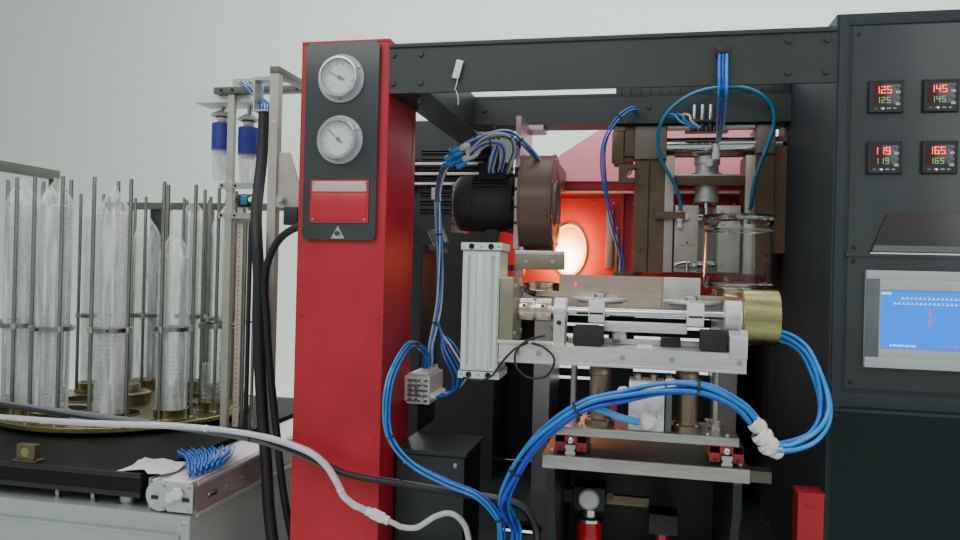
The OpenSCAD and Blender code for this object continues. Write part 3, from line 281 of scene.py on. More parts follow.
# ---------------------------------------------------------------- mesh kit, in millimetres
class Kit:
    def __init__(self):
        self.bm = bmesh.new(); self.mats = []

    def mi(self, mt):
        if mt not in self.mats:
            self.mats.append(mt)
        return self.mats.index(mt)

    def _fin(self, before, mt):
        k = self.mi(mt)
        for f in self.bm.faces:
            if f not in before:
                f.material_index = k

    def _add(self, verts, faces, mt):
        k = self.mi(mt)
        vs = [self.bm.verts.new(v) for v in verts]
        for f in faces:
            try:
                nf = self.bm.faces.new([vs[i] for i in f]); nf.material_index = k
            except ValueError:
                pass
        return vs

    def box(self, a, b, mt, bev=1.0, rot=None):
        (x0, y0, z0), (x1, y1, z1) = a, b
        t = bmesh.new()
        bmesh.ops.create_cube(t, size=1)
        c = Vector(((x0 + x1) / 2, (y0 + y1) / 2, (z0 + z1) / 2))
        for v in t.verts:
            v.co = Vector((v.co.x * (x1 - x0), v.co.y * (y1 - y0), v.co.z * (z1 - z0)))
        bev = min(bev, 0.24 * min(x1 - x0, y1 - y0, z1 - z0))
        if bev > 0.05:
            bmesh.ops.bevel(t, geom=t.edges[:], offset=bev, segments=2, profile=0.6, affect="EDGES")
        for v in t.verts:
            v.co = (rot @ v.co if rot else v.co) + c
        self._merge(t, mt)

    def _merge(self, t, mt):
        t.verts.index_update()
        self._add([v.co.copy() for v in t.verts], [[v.index for v in f.verts] for f in t.faces], mt)
        t.free()

    def prism(self, poly, thick, mt, origin=(0, 0, 0), u=(1, 0, 0), v=(0, 0, 1), bev=0.6):
        """outline in the plane of u and v, pushed along u x v"""
        u = Vector(u); v = Vector(v); w = u.cross(v); o = Vector(origin)
        t = bmesh.new()
        lo = [t.verts.new(o + u * p[0] + v * p[1]) for p in poly]
        hi = [t.verts.new(o + u * p[0] + v * p[1] + w * thick) for p in poly]
        n = len(poly)
        t.faces.new(lo[::-1]); t.faces.new(hi)
        for i in range(n):
            t.faces.new([lo[i], lo[(i + 1) % n], hi[(i + 1) % n], hi[i]])
        bmesh.ops.recalc_face_normals(t, faces=t.faces[:])
        if bev:
            bmesh.ops.bevel(t, geom=t.edges[:], offset=bev, segments=1, affect="EDGES")
        self._merge(t, mt)

    def lathe(self, origin, axis, prof, mt, n=32, wob=None):
        """prof: list of (radius, height along axis)"""
        a = Vector(axis).normalized(); o = Vector(origin)
        s = Vector((0, 0, 1)) if abs(a.z) < 0.9 else Vector((1, 0, 0))
        u = s.cross(a).normalized(); v = a.cross(u)
        vs = []; fs = []; rings = []
        for r, h in prof:
            if r < 1e-6:
                rings.append([len(vs)]); vs.append(o + a * h)
            else:
                rings.append(list(range(len(vs), len(vs) + n)))
                for k in range(n):
                    t = 2 * math.pi * k / n
                    rr = r if wob is None else wob(r, h, t)
                    vs.append(o + a * h + (u * math.cos(t) + v * math.sin(t)) * rr)
        for p, q in zip(rings, rings[1:]):
            for k in range(n):
                k2 = (k + 1) % n
                if len(p) == 1 and len(q) == 1:
                    continue
                if len(p) == 1:
                    fs.append([p[0], q[k2], q[k]])
                elif len(q) == 1:
                    fs.append([p[k], p[k2], q[0]])
                else:
                    fs.append([p[k], p[k2], q[k2], q[k]])
        self._add(vs, fs, mt)

    def cyl(self, p, q, r, mt, n=20, c=None):
        p = Vector(p); q = Vector(q); h = (q - p).length
        c = min(r, h) * 0.12 if c is None else c
        self.lathe(p, q - p, [(0, 0), (r - c, 0), (r, c), (r, h - c), (r - c, h), (0, h)], mt, n)

    def hexa(self, p, axis, af, h, mt):
        self.lathe(p, axis, [(0, 0), (af * 0.577, 0), (af * 0.577, h * 0.85), (af * 0.5, h), (0, h)], mt, 6)

    def screw(self, p, axis, r, h, mt):
        """socket head screw"""
        self.lathe(p, axis, [(r, 0), (r, h * 0.85), (r * 0.9, h), (r * 0.52, h), (r * 0.5, h * 0.5), (0, h * 0.5)], mt, 14)

    def sweep(self, pts, r, mt, n=8, closed=False):
        pts = [Vector(p) for p in pts]
        m_ = len(pts); vs = []; fs = []; prev = None
        for i, p in enumerate(pts):
            t = (pts[min(i + 1, m_ - 1)] - pts[max(i - 1, 0)]).normalized()
            if prev is None:
                prev = Vector((0, 0, 1)) if abs(t.z) < 0.9 else Vector((1, 0, 0))
            u = (prev - t * prev.dot(t)).normalized(); prev = u; v = t.cross(u)
            for k in range(n):
                a = 2 * math.pi * k / n
                vs.append(p + (u * math.cos(a) + v * math.sin(a)) * r)
        for i in range(m_ - 1):
            for k in range(n):
                fs.append([i * n + k, i * n + (k + 1) % n, (i + 1) * n + (k + 1) % n, (i + 1) * n + k])
        fs.append(list(range(n))[::-1]); fs.append([(m_ - 1) * n + k for k in range(n)])
        self._add(vs, fs, mt)

    def done(self, name, body, angle=40):
        bm = self.bm
        bmesh.ops.recalc_face_normals(bm, faces=bm.faces[:])
        me = bpy.data.meshes.new(name)
        for v in bm.verts:
            v.co = v.co * MM
        bm.to_mesh(me); bm.free()
        for mt in self.mats:
            me.materials.append(mt)
        for p in me.polygons:
            p.use_smooth = True
        me.set_sharp_from_angle(angle=math.radians(angle))
        o = bpy.data.objects.new(name, me)
        bpy.context.scene.collection.objects.link(o)
        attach(o, body)
        return o


# ---------------------------------------------------------------- cords
def cr(a, b, c, d, t):
    return 0.5 * (2 * b + (c - a) * t + (2 * a - 5 * b + 4 * c - d) * t * t + (3 * b - a - 3 * c + d) * t * t * t)


def smooth(pts, n=6):
    p = [Vector(q) for q in pts]
    q = [2 * p[0] - p[1]] + p + [2 * p[-1] - p[-2]]
    out = []
    for i in range(len(p) - 1):
        for j in range(n):
            out.append(cr(q[i], q[i + 1], q[i + 2], q[i + 3], j / n))
    return out + [p[-1]]


def frames(pts):
    prev = None; out = []
    for i, p in enumerate(pts):
        t = (pts[min(i + 1, len(pts) - 1)] - pts[max(i - 1, 0)]).normalized()
        if prev is None:
            prev = Vector((0, 0, 1)) if abs(t.z) < 0.9 else Vector((1, 0, 0))
        u = (prev - t * prev.dot(t)).normalized(); prev = u
        out.append((t, u, t.cross(u)))
    return out


def ties(name, pts, d, at, body, mt=PLB):
    k = Kit()
    f = frames(pts)
    for a in at:
        i = min(len(pts) - 2, max(1, int(a * (len(pts) - 1))))
        t = f[i][0]; p = pts[i]
        r = d / 2
        k.lathe(p - t * 1.8, t, [(r * 1.0, 0), (r * 1.08, 0), (r * 1.08, 3.6), (r * 1.0, 3.6), (r * 1.0, 0)], mt, 18)
        k.box(tuple(p + f[i][1] * (r * 1.05) - Vector((2.2, 2.2, 2.2))), tuple(p + f[i][1] * (r * 1.05) + Vector((2.2, 2.2, 2.2))), mt, 0.5)
    return k.done(name, body)


def bundle(name, way, d, mats, body, nodes=(), lobes=3, twist=2.0, at=(), n=5, extra=(), tie=PLB):
    """several tubes tied together: one lobed mesh along the route"""
    pts = smooth(way, n)
    f = frames(pts)
    s = 6 * lobes if lobes > 1 else 16
    me = bpy.data.meshes.new(name)
    vs = []; fs = []; mids = []
    L = 0
    for i, p in enumerate(pts):
        if i:
            L += (p - pts[i - 1]).length
        t, u, v = f[i]
        ph = twist * L / 1000 * 2 * math.pi
        for k in range(s):
            a = 2 * math.pi * k / s
            if lobes > 1:
                w = abs(math.cos(lobes * a / 2))
                r = d * (0.375 + 0.135 * w ** 0.55)
            else:
                r = d / 2
            vs.append((p + (u * math.cos(a + ph) + v * math.sin(a + ph)) * r) * MM)
    for i in range(len(pts) - 1):
        for k in range(s):
            fs.append([i * s + k, i * s + (k + 1) % s, (i + 1) * s + (k + 1) % s, (i + 1) * s + k])
            mids.append(((k + 3) // 6) % max(1, lobes) if lobes > 1 else 0)
    fs.append(list(range(s))[::-1]); mids.append(0)
    fs.append([(len(pts) - 1) * s + k for k in range(s)]); mids.append(0)
    me.from_pydata(vs, [], fs)
    for mt in mats:
        me.materials.append(mt)
    for p, mm in zip(me.polygons, mids):
        p.use_smooth = True; p.material_index = mm % len(mats)
    o = bpy.data.objects.new(name, me)
    bpy.context.scene.collection.objects.link(o)
    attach(o, body)
    if nodes:
        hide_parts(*nodes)
    w = list(extra)
    if at:
        w.append(ties(name + "_ties", pts, d, at, body, tie))
    return o


def strands(name, way, d, mats, body, nodes=(), n=5, twist=0.8, at=(), step=5, tie=PLB, rc=0.36, rs=0.165, core=True):
    """separate thin tubes laid side by side along one route, as one mesh"""
    pts = smooth(way, step); f = frames(pts)
    k = Kit(); L = 0; tw = [0]
    for a, b in zip(pts, pts[1:]):
        L += (b - a).length; tw.append(twist * L / 1000 * 2 * math.pi)
    for q in range(n):
        row = []
        for i, p in enumerate(pts):
            t, u, v = f[i]
            e = min(1, i / 6, (len(pts) - 1 - i) / 6)
            a = 2 * math.pi * q / n + tw[i] + 0.22 * e * math.sin(i * 0.35 + q * 2.1)
            r = d * rc * (1 + 0.07 * e * math.sin(i * 0.23 + q * 1.7))
            row.append(p + (u * math.cos(a) + v * math.sin(a)) * r)
        k.sweep(row, d * rs, mats[q % len(mats)], 8)
    o = k.done(name, body, 60)
    if nodes:
        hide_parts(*nodes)
    w = [ties(name + "_ties", pts, d, at, body, tie)] if at else []
    return o


def line(name, way, d, mt, body, nodes=(), n=6):
    """one round cable or tube as a curve"""
    pts = smooth(way, n)
    cu = bpy.data.curves.new(name, "CURVE")
    cu.dimensions = "3D"; cu.bevel_depth = d / 2 * MM; cu.bevel_resolution = 2; cu.use_fill_caps = True
    sp = cu.splines.new("POLY"); sp.points.add(len(pts) - 1)
    for q, p in zip(sp.points, pts):
        q.co = (*(p * MM), 1)
    sp.use_smooth = True
    cu.materials.append(mt)
    o = bpy.data.objects.new(name, cu)
    bpy.context.scene.collection.objects.link(o)
    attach(o, body)
    if nodes:
        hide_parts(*nodes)
    return o


way_main = [[676, -527, 1243], [650, -530, 1270], [605, -530, 1290], [550, -530, 1290], [495, -525, 1275], [445, -525, 1260], [400, -520, 1230], [360, -520, 1190], [332, -515, 1140], [317, -494, 1096], [321, -458, 1062], [325, -431, 1036], [325, -430, 1009], [325, -430, 982.4]]
way_swivel = [[690.4, -383, 1360], [702, -383, 1360], [714, -383, 1360], [740, -386, 1355], [762, -398, 1338], [774, -420, 1308], [778, -448, 1275], [772, -476, 1248], [754, -498, 1228], [730, -511, 1218], [712, -518, 1214], [694, -524, 1212]]
way_column = [[113, -236, 1258.4], [113, -236, 1271], [113, -238, 1284], [108, -262, 1304], [100, -312, 1308], [95, -385, 1264], [92, -400, 1210], [100, -402, 1160], [140, -405, 1120], [205, -415, 1095], [262, -425, 1080], [296, -430, 1052], [303, -430, 1028], [303, -430, 1005], [303, -430, 982.4]]
way_motor = [[205, -90.4, 1656], [205, -101, 1656], [205, -112, 1657], [212, -122, 1680], [216, -122, 1706], [196, -122, 1724], [162, -122, 1712], [132, -124, 1690], [109, -128, 1648], [100, -132, 1602], [103, -136, 1551], [110, -140, 1468], [113, -150, 1387], [113, -180, 1330], [113, -199, 1298], [113, -200, 1278], [113, -200, 1258.4]]
way_mould = [[495, -19.4, 1790], [495, -32, 1790], [494, -45, 1790], [480, -54, 1786], [458, -56, 1768], [438, -52, 1735], [430, -46, 1700], [432, -38, 1655], [440, -20, 1600], [452, 4, 1550], [464, 22, 1510], [471, 29, 1484], [472, 30, 1468], [472, 30, 1452.4]]
way_stretch = [[590, -10, 1582.4], [590, -10, 1594], [589, -11, 1606], [575, -17, 1642], [549, -25, 1686], [540, -34, 1728], [548, -42, 1765], [575, -50, 1798], [621, -54, 1822], [680, -54, 1829], [725, -52, 1820], [757, -48, 1795], [765, -45, 1762], [757, -42, 1722], [743, -39, 1680], [733, -36, 1646], [729, -32, 1616], [729, -22, 1597], [729, -10, 1590.5], [729, -1, 1590], [729, 7.6, 1590]]
way_conduit = [[-334, -60, 1795.6], [-334, -60, 1770], [-334, -61, 1745], [-333, -66, 1690], [-329, -84, 1625], [-314, -120, 1560], [-296, -147, 1500], [-287, -152, 1420], [-285, -152, 1331], [-279, -152, 1230], [-268, -156, 1130], [-248, -172, 1030], [-226, -194, 930], [-196, -218, 850], [-160, -233, 803], [-134, -235, 790], [-115, -235, 790], [-95.4, -235, 790]]
way_branch = [[-92.4, -250, 1530], [-108, -250, 1530], [-125, -250, 1530], [-165, -245, 1522], [-208, -226, 1496], [-243, -200, 1448], [-258, -178, 1396], [-260, -164, 1340], [-256, -158, 1260], [-246, -154, 1170], [-232, -156, 1080], [-214, -162, 980], [-190, -164, 880], [-160, -161, 790], [-136, -160, 745], [-116, -160, 740], [-95.4, -160, 740]]
way_black = [[-1160, -300, 1048.4], [-1160, -300, 1064], [-1160, -302, 1080], [-1146, -340, 1112], [-1100, -372, 1136], [-1040, -385, 1148], [-870, -390, 1166], [-700, -390, 1165], [-560, -395, 1160], [-430, -398, 1155], [-300, -400, 1150], [-160, -400, 1140], [-65, -402, 1120], [20, -402, 1092], [120, -398, 1082], [230, -392, 1072], [316, -352, 1050], [344, -322, 1000], [345, -320, 960], [345, -320, 935], [345, -320, 910.4]]
way_white = [[-1175, -340, 1048.4], [-1175, -340, 1062], [-1175, -342, 1076], [-1160, -378, 1102], [-1060, -408, 1128], [-870, -410, 1148], [-700, -410, 1146], [-545, -412, 1146], [-415, -414, 1150], [-295, -416, 1155], [-155, -418, 1152], [-55, -421, 1135], [-12, -421, 1113], [12, -421, 1084], [26, -421, 1060], [45.5, -421, 1045.8], [56.9, -421, 1041.9], [68.2, -421, 1038]]
way_clear = [[108.7, -421, 1024.1], [120, -421, 1020.2], [131.4, -421, 1016.3], [158, -420, 1018], [188, -417, 1038], [214, -413, 1044], [236, -406, 1024], [245, -401, 985], [252, -396, 946], [268, -395, 930], [279, -395, 930], [289.6, -395, 930]]

strands("hose_main", way_main, 20, [BLUE, BLUED, BLUED, BLUE, BLUE], "machine", ["blue_hoses"], 5, 0.7, (0.18, 0.42, 0.6, 0.78))
strands("hose_swivel", way_swivel, 20, [BLUEL, BLUE, BLUE, BLUED, BLUEL], "lift", ["swivel_hose"], 5, 0.5, ())
strands("hose_column", way_column, 14, [BLUE, BLUEL, BLUED, BLUE], "machine", ["blue_hoses"], 4, 0.8, (0.25, 0.5, 0.8))
strands("hose_motor", way_motor, 14, [WIRE, BLUEL, WIRE, BLUED, WIRE, BLUE], "machine", ["thin_tubes"], 6, 1.1, (0.35, 0.5, 0.65, 0.8), rs=0.14)
strands("hose_mould", way_mould, 12, [BLUE, BLUED, BLUE], "machine", ["blue_hoses"], 3, 0.6, (0.3,), rs=0.15)
line("hose_stretch", way_stretch, 8, TEAL, "machine", ["blue_hoses"])
line("conduit", way_conduit, 26, CABLE, "machine", ["dark_cables"])
line("conduit_branch", way_branch, 16, CABLE, "machine", ["thin_tubes"])
bundle("cable_front", way_black, 14, [CABLE, CABG], "machine", ["dark_cables"], 2, 1.2, (0.22, 0.55, 0.7))
bundle("tube_white", way_white, 12, [CLEART, WIRE], "machine", ["dark_cables"], 2, 1.0, (0.28, 0.56, 0.8), tie=WHITE)
line("tube_clear", way_clear, 10, CLEART, "machine", ["thin_tubes"])
print("cords done")


# ---------------------------------------------------------------- column, gauges, plate
k = Kit()
for z in (1781, 1673):
    k.lathe((-12, -391.3, z), (0, -1, 0), [(0, 0), (28.6, 0), (28.6, 0.25), (0, 0.25)], DIAL, 48)
    for i in range(28):
        a = math.radians(-135 + 270 * i / 27)
        big = i % 3 == 0
        r0, r1 = (21 if big else 23.5), 26
        c, s = math.sin(a), math.cos(a)
        w = 0.55 if big else 0.3
        k.prism([(-w, r0), (w, r0), (w, r1), (-w, r1)], 0.3, BLACK, (-12, -391.55, z), (s, 0, -c), (c, 0, s), 0)
    for a in (30, 150, 270):
        a = math.radians(a)
        k.screw((-12 + 38.5 * math.cos(a), -387, z + 38.5 * math.sin(a)), (0, -1, 0), 3.4, 1.6, STEEL)
    k.lathe((-12, -401, z), (0, -1, 0), [(31.6, -0.4), (35.2, -0.4), (35.4, 1.2), (34.6, 2.2), (32.2, 2.2), (31.6, 1.2), (31.6, -0.4)], CHROME, 56)
k.done("gauge_dials", "machine")

k = Kit()
k.prism([(-25, 0), (1, 0), (-12, 23)], 1.4, STEEL, (0, -383.1, 1499), (1, 0, 0), (0, 0, 1), 0.2)
k.lathe((-12, -384.4, 1507), (0, -1, 0), [(0, 3.4), (2.2, 3.2), (4.2, 1.6), (4.4, 0)], CHROME, 20)
k.box((-61, -386, 1582), (40, -385, 1600), PALEB, 0.4)
k.box((-61, -386, 1531), (40, -385, 1579), PLATE, 0.4)
for x in (-59, 38):
    for z in (1533, 1597):
        k.lathe((x, -386, z), (0, -1, 0), [(0, 1.5), (1.6, 1.3), (2.4, 0)], CHROME, 12)
k.done("plate_details", "machine")

k = Kit()
# folded edges, weld seams and screws on the red column and the roof beams
for x in (-91, 72):
    k.cyl((x, -374, 911), (x, -374, 1849), 1.6, RED, 10)
k.box((-92.6, -376, 1846), (73.6, -209, 1851.5), RED, 1.2)
k.box((-92.5, -262, 912), (-91.5, -258, 1846), RED, 0.3)
k.box((72.8, -232, 912), (73.8, -226, 1752), RED, 0.3)
for z in (940, 1150, 1360):
    for x in (-82, 63):
        k.screw((x, -375, z), (0, -1, 0), 3.2, 1.4, RED)
k.done("column_trim", "machine")

k = Kit()
for x in (80, 130, 730, 786):
    for z in (1772, 1822):
        k.hexa((x, -375, z), (0, -1, 0), 9, 3.4, FRAME)
k.box((73, -378.5, 1834), (800, -375, 1841), FRAME, 0.8)
k.box((145, -62, 1758), (196, -19, 1766), FRAME, 0.8)
k.box((146, -19, 1822), (452, -14, 1830), FRAME, 0.8)
k.box((452, -19, 1822), (799, 12, 1850), FRAME, 1.4)
k.box((452, -21, 1843), (799, -19, 1851), FRAME, 0.6)
for q in range(17):
    k.box((462 + 20 * q, -20, 1826), (465 + 20 * q, -18.6, 1842), BLACK, 0.3)
k.box((620, -383, 1800), (642, -375, 1816), BLACK, 1.2)
k.box((622, -390, 1802), (640, -382, 1812), BLACK, 1.2)
k.prism([(0, 0), (46, 0), (0, 46)], 5, FRAME, (145, 60, 1770), (1, 0, 0), (0, 0, 1), 0.5)
for x in (170, 520, 760):
    k.hexa((x, -19, 1800), (0, -1, 0), 10, 4, FRAME)
k.sweep([(196 + 4 * math.sin(i / 3), -382 + 0.6 * i, 1756 - 4 * i) for i in range(7)], 0.9, WHITE, 6)
k.box((192, -383, 1776), (204, -379.4, 1808), WHITE, 1.2, Matrix.Rotation(0.25, 3, "Y"))
k.sweep([(198, -380.5, 1776), (196, -380, 1766), (193, -380, 1757)], 0.8, WHITE, 6)
k.cyl((110, -312, 1752), (110, -312, 1757), 6, CHROME)
k.done("roof_details", "machine")

# ---------------------------------------------------------------- control cabinet
SEG = {"0": "abcdef", "1": "bc", "2": "abged", "3": "abgcd", "4": "fgbc", "5": "afgcd", "6": "afgedc", "7": "abc", "8": "abcdefg", "9": "abcfgd"}


def digit(k, ch, x, y, z, w, h, mt):
    t = w * 0.2
    B = {"a": ((0, h - t), (w, h)), "g": ((0, h / 2 - t / 2), (w, h / 2 + t / 2)), "d": ((0, 0), (w, t)),
         "f": ((0, h / 2), (t, h)), "b": ((w - t, h / 2), (w, h)), "e": ((0, 0), (t, h / 2)), "c": ((w - t, 0), (w, h / 2))}
    for s in SEG[ch]:
        (x0, z0), (x1, z1) = B[s]
        k.box((x + x0 + 0.15, y - 0.35, z + z0 + 0.15), (x + x1 - 0.15, y, z + z1 - 0.15), mt, 0)


k = Kit()
vals = ["125", "145", "130", "150", "119", "165", "140", "128"]
for j, z in enumerate((1730, 1637)):
    for i in range(4):
        x = 871 + 76 * i
        k.box((x - 21.6, -380.1, z - 21.6), (x + 21.6, -379.0, z + 21.6), GREYP, 1.0)
        k.box((x - 18.6, -380.7, z - 13.6), (x + 10.4, -379.9, z + 18.6), DISP, 0.4)
        for q, ch in enumerate(vals[4 * j + i]):
            digit(k, ch, x - 16.2 + 8.6 * q, -380.7, z + 4.6, 6.6, 11.0, LEDR)
            digit(k, vals[4 * j + i][q], x - 14.2 + 7.4 * q, -380.7, z - 10.2, 5.2, 9.2, LEDG)
        for q in range(4):
            k.box((x + 13.2, -381.5, z + 13.2 - 9 * q), (x + 19.4, -379.9, z + 17.0 - 9 * q), SILV if q % 2 else GREYP, 0.6)
        k.box((x - 8, -380.9, z - 19.0), (x + 14, -380.0, z - 17.6), SILV, 0.2)
        k.lathe((x - 4, -380.3, z - 18.4), (0, -1, 0), [(0, 1.0), (1.4, 0.9), (1.8, 0)], SCRW, 12)
        for s in (1, -1):
            k.box((x - 24, -381.6, z + s * 23.2 - 0.8), (x + 24, -381, z + s * 23.2 + 0.8), PLB, 0.2)
            k.box((x + s * 23.2 - 0.8, -381.6, z - 24), (x + s * 23.2 + 0.8, -381, z + 24), PLB, 0.2)
        k.box((x - 25.5, -375.6, z - 25.5), (x + 25.5, -374.6, z + 25.5), RUB, 0.5)
k.done("controller_faces", "machine")

k = Kit()
k.box((870.6, -381.5, 1346.6), (1023.4, -380.6, 1434.4), SCREEN, 0.3)
k.box((871, -381.8, 1428.5), (885, -381.4, 1432), SCRW, 0)
for z, x0, w in ((1422, 899, 108), (1414, 888, 124)):
    for q in range(int(w / 6)):
        k.box((x0 + 6 * q, -381.8, z), (x0 + 6 * q + 4.4 - (q * 7 % 3) * 0.5, -381.4, z + 1.3), SCRW, 0)
        k.box((x0 + 0.8 + 6 * q, -381.8, z + 2.2), (x0 + 6 * q + 3.4, -381.4, z + 3.4), SCRW, 0)
for z, w in ((1382, 3.2), (1388, 4.4), (1394, 2.6), (1400, 4.0), (1405, 2.2)):
    k.box((939 - w / 2, -381.8, z), (939 + w / 2, -381.4, z + 3.0), SCRR, 0)
for q in range(9):
    k.box((884 + 4.2 * q, -381.8, 1350), (886.6 + 4.2 * q + (q % 2), -381.4, 1353), SCRW, 0)
for q in range(6):
    k.box((952 + 7 * q, -381.8, 1352), (956 + 7 * q, -381.4, 1354), SCRR, 0)
k.box((849, -384.4, 1452), (1053, -382.6, 1465), SILV, 0.8)
k.box((849, -384.4, 1317), (1053, -382.6, 1333), SILV, 0.8)
for x0, x1 in ((849, 868), (1026, 1053)):
    k.box((x0, -384, 1333), (x1, -382.6, 1452), GREYP, 0.8)
k.box((868, -384, 1333), (1026, -382.6, 1345.5), SILV, 0.5)
k.box((868, -384, 1435.5), (1026, -382.6, 1452), SILV, 0.5)
k.lathe((1040, -384, 1325), (0, -1, 0), [(0, 0.6), (1.6, 0.5), (2, 0)], LEDG, 12)
k.done("touch_screen_face", "machine")

k = Kit()
for x in (804, 1183):
    k.box((x, -377.2, 62), (x + 13, -375, 1858), CAB, 0.9)
k.box((817, -377.2, 1842), (1183, -375, 1858), CAB, 0.9)
k.box((817, -377.2, 1254.5), (1183, -375, 1276), CAB, 0.9)
k.box((820.5, -375.4, 1279), (824, -373, 1840), RUB, 0.4)
k.box((1176, -375.4, 1279), (1179.5, -373, 1840), RUB, 0.4)
k.box((821, -375.6, 1279.5), (1179, -373.5, 1283), RUB, 0.4)
# sloping gloss strip over the touch panel
k.prism([(0, 0), (322, 0), (322, 62), (24, 62)], 2.2, BRAKE, (854, -377.4, 1490), (1, 0, 0), (0, 0, 1), 0.5)
k.prism([(3, 0), (318, 0), (318, 9), (6, 9)], 0.4, GREYP, (854, -379.6, 1494), (1, 0, 0), (0, 0, 1), 0.1)
k.prism([(0, 0), (322, 0), (322, 2.2), (0.8, 2.2)], 0.6, WHITE, (854, -379.8, 1490), (1, 0, 0), (0, 0, 1), 0.1)
for x in (832, 1168):
    for z in (1292, 1478, 1500, 1828):
        k.lathe((x, -375.2, z), (0, -1, 0), [(0, 1.8), (2.4, 1.5), (3.4, 0.2), (3.4, 0)], BLACK, 14)
k.done("cabinet_trim", "machine")

k = Kit()
k.box((828, -380, 700), (838, -378, 716), BLACK, 0.5)
k.lathe((834, -378, 690), (0, -1, 0), [(0, 5), (8, 5), (9, 4), (9, 0)], CHROME, 24)
for x in (812, 1170):
    for z in (84, 1240):
        k.lathe((x, -378, z), (0, -1, 0), [(0, 1.6), (3, 1.3), (4, 0)], BLACK, 14)
for i in range(8):
    k.box((900, -379.4, 200 + 22 * i), (1090, -378, 207 + 22 * i), BLACK, 0.5)
k.box((808, -379, 1246), (1182, -378, 1251), CAB, 0.4)
k.done("door_trim", "cabinet_door_leaf")

# ---------------------------------------------------------------- oven
k = Kit()
# flame shape and disc inside the mouth: painted lamp light on the oven's inner walls, drawn as emission; the steel ring
# is the mouth's rim
k.lathe((330, 276, 1474), (0, -1, 0), [(0, 2), (9, 1), (15, 0)], GLOW, 24, wob=lambda r, h, t: r * (1 + 0.3 * math.sin(t) + 0.15 * math.sin(3 * t)))
k.lathe((342, 300, 1504), (0, -1, 0), [(0, 0), (88, 0), (94, 20), (92, 30)], GLOWO, 40)
ring = lambda r, h: [(342 + (r - 17) * math.cos(t * math.pi / 28), 197 - h, 1504 + (r + 4) * math.sin(t * math.pi / 28)) for t in range(56)]
prof = [(53, 0), (53, 4), (56, 5.5), (61, 5.5), (63.5, 3.5), (63.5, -2)]
vs = [Vector(v) for r, h in prof for v in ring(r, h)]
k._add(vs, [[56 * a + q, 56 * a + (q + 1) % 56, 56 * (a + 1) + (q + 1) % 56, 56 * (a + 1) + q] for a in range(5) for q in range(56)], STEEL)
k.done("oven_glow", "machine")

k = Kit()
# seams, flanges and rivets of the red oven front; the white strip along its top is a painted highlight on the edge
k.box((150, 182.5, 1640), (800, 185, 1645.5), WHITE, 0.4)
k.box((150, 197.5, 1626), (800, 200, 1630), OVRED, 0.4)
k.box((150, 197.6, 1560), (300, 200, 1563), OVRED, 0.4)
for i in range(14):
    k.lathe((170 + 46 * i, 200, 1618), (0, -1, 0), [(0, 1.8), (2.2, 1.5), (3, 0)], STEEL, 12)
k.box((430, 188, 1462), (446, 200, 1600), STEELV, 0.8)
k.box((452, 190, 1454), (458, 200, 1560), BRASS, 0.6)
k.box((466, 190, 1454), (470, 200, 1640), REDP, 0.6)
k.box((258, 199, 1667), (800, 203, 1671), OVRED, 0.4)
k.done("oven_front_details", "machine")

k = Kit()
# beige guide rail in front of the mouth, on its arm from the bracket
k.box((261, -112, 1454), (361, -92, 1486), OLIVE, 2.0)
k.box((262, -112.8, 1484), (360, -90, 1492), ALUW, 1.2)
k.box((261, -96, 1440), (275, -60, 1500), STEELV, 1.0)
k.box((255, -80, 1440), (267, -40, 1500), STEELV, 1.0)
for x in (284, 338):
    k.screw((x, -112, 1470), (0, -1, 0), 4, 2.2, STEEL)
k.box((228, -118, 1450), (254, -84, 1462), BLACK, 1)
k.done("guide_rail", "machine")

# ---------------------------------------------------------------- blower
k = Kit()
for q in range(5):
    k.box((178, -92.2, 1644 + 5 * q), (232, -90.2, 1646 + 5 * q), MOTOR, 0.3)
for q in range(8):
    a = math.radians(22.5 + 45 * q)
    k.screw((335, -50 + 92 * math.cos(a), 1594 + 92 * math.sin(a)), (1, 0, 0), 3.4, 2.2, STEEL)
k.lathe((267, -50, 1594), (1, 0, 0), [(99.8, 0), (102, 0.4), (102, 4), (100.2, 5), (100.2, 62), (102, 63), (102, 67), (99, 68.4), (60, 68.4), (56, 66), (46, 66)], DRUM, 72)
k.lathe((333, -50, 1594), (1, 0, 0), [(44, 0), (48, 0), (48, 4), (46, 5), (44, 4), (44, 0)], STEEL, 40)
for q in range(7):
    k.sweep([(334, -50 - 40 + 13 * q, 1594 - math.sqrt(max(0, 44 ** 2 - (40 - 13 * q) ** 2))), (335, -50 - 40 + 13 * q, 1594 + math.sqrt(max(0, 44 ** 2 - (40 - 13 * q) ** 2)))], 1.2, STEEL, 6)
for z in (1520, 1560, 1600, 1640, 1680):
    k.box((255.6, -100, z), (257.2, -72, z + 14), PINK if z % 80 else RED, 0.4)
for z, h in ((1640, 22), (1614, 7), (1578, 5), (1545, 6), (1700, 10)):
    k.box((256, -116.4, z), (268, -114.6, z + h), BLACK, 0.5)
k.box((255.4, -90, 1506), (257.2, -20, 1530), PLATE, 0.4)
k.done("blower_details", "machine")

k = Kit()
# cowl, barrel with cooling ribs on its upper front, terminal box and foot
k.lathe((120.6, -50, 1592), (1, 0, 0), [(0, 0.6), (12, 0.6), (12, 0), (40, 0.4), (50, 2), (56, 6.4), (58.8, 12), (59.4, 20), (59.4, 44), (58.6, 44.6), (58.6, 45.8), (59.4, 46.4), (59.4, 126), (57, 129), (40, 130), (0, 130)], MOTOR, 72)
for q in range(9):
    a = math.radians(100 - 8.5 * q)
    c_, s_ = math.cos(a), math.sin(a)
    rt = Matrix.Rotation(-(math.pi / 2 - a), 3, "X")
    k.box((162, -50 - c_ * 0 - 0.9 + 60.4 * -math.sin(math.radians(-10 + 8.5 * q)), 1592 + 60.4 * math.cos(math.radians(-10 + 8.5 * q)) - 1.7), (240, -50 + 0.9 + 60.4 * -math.sin(math.radians(-10 + 8.5 * q)), 1592 + 60.4 * math.cos(math.radians(-10 + 8.5 * q)) + 1.7), MOTOR, 0.4, Matrix.Rotation(math.radians(-10 + 8.5 * q), 3, "X"))
k.box((175, -90, 1640), (235, -10, 1671), MOTOR, 2.5)
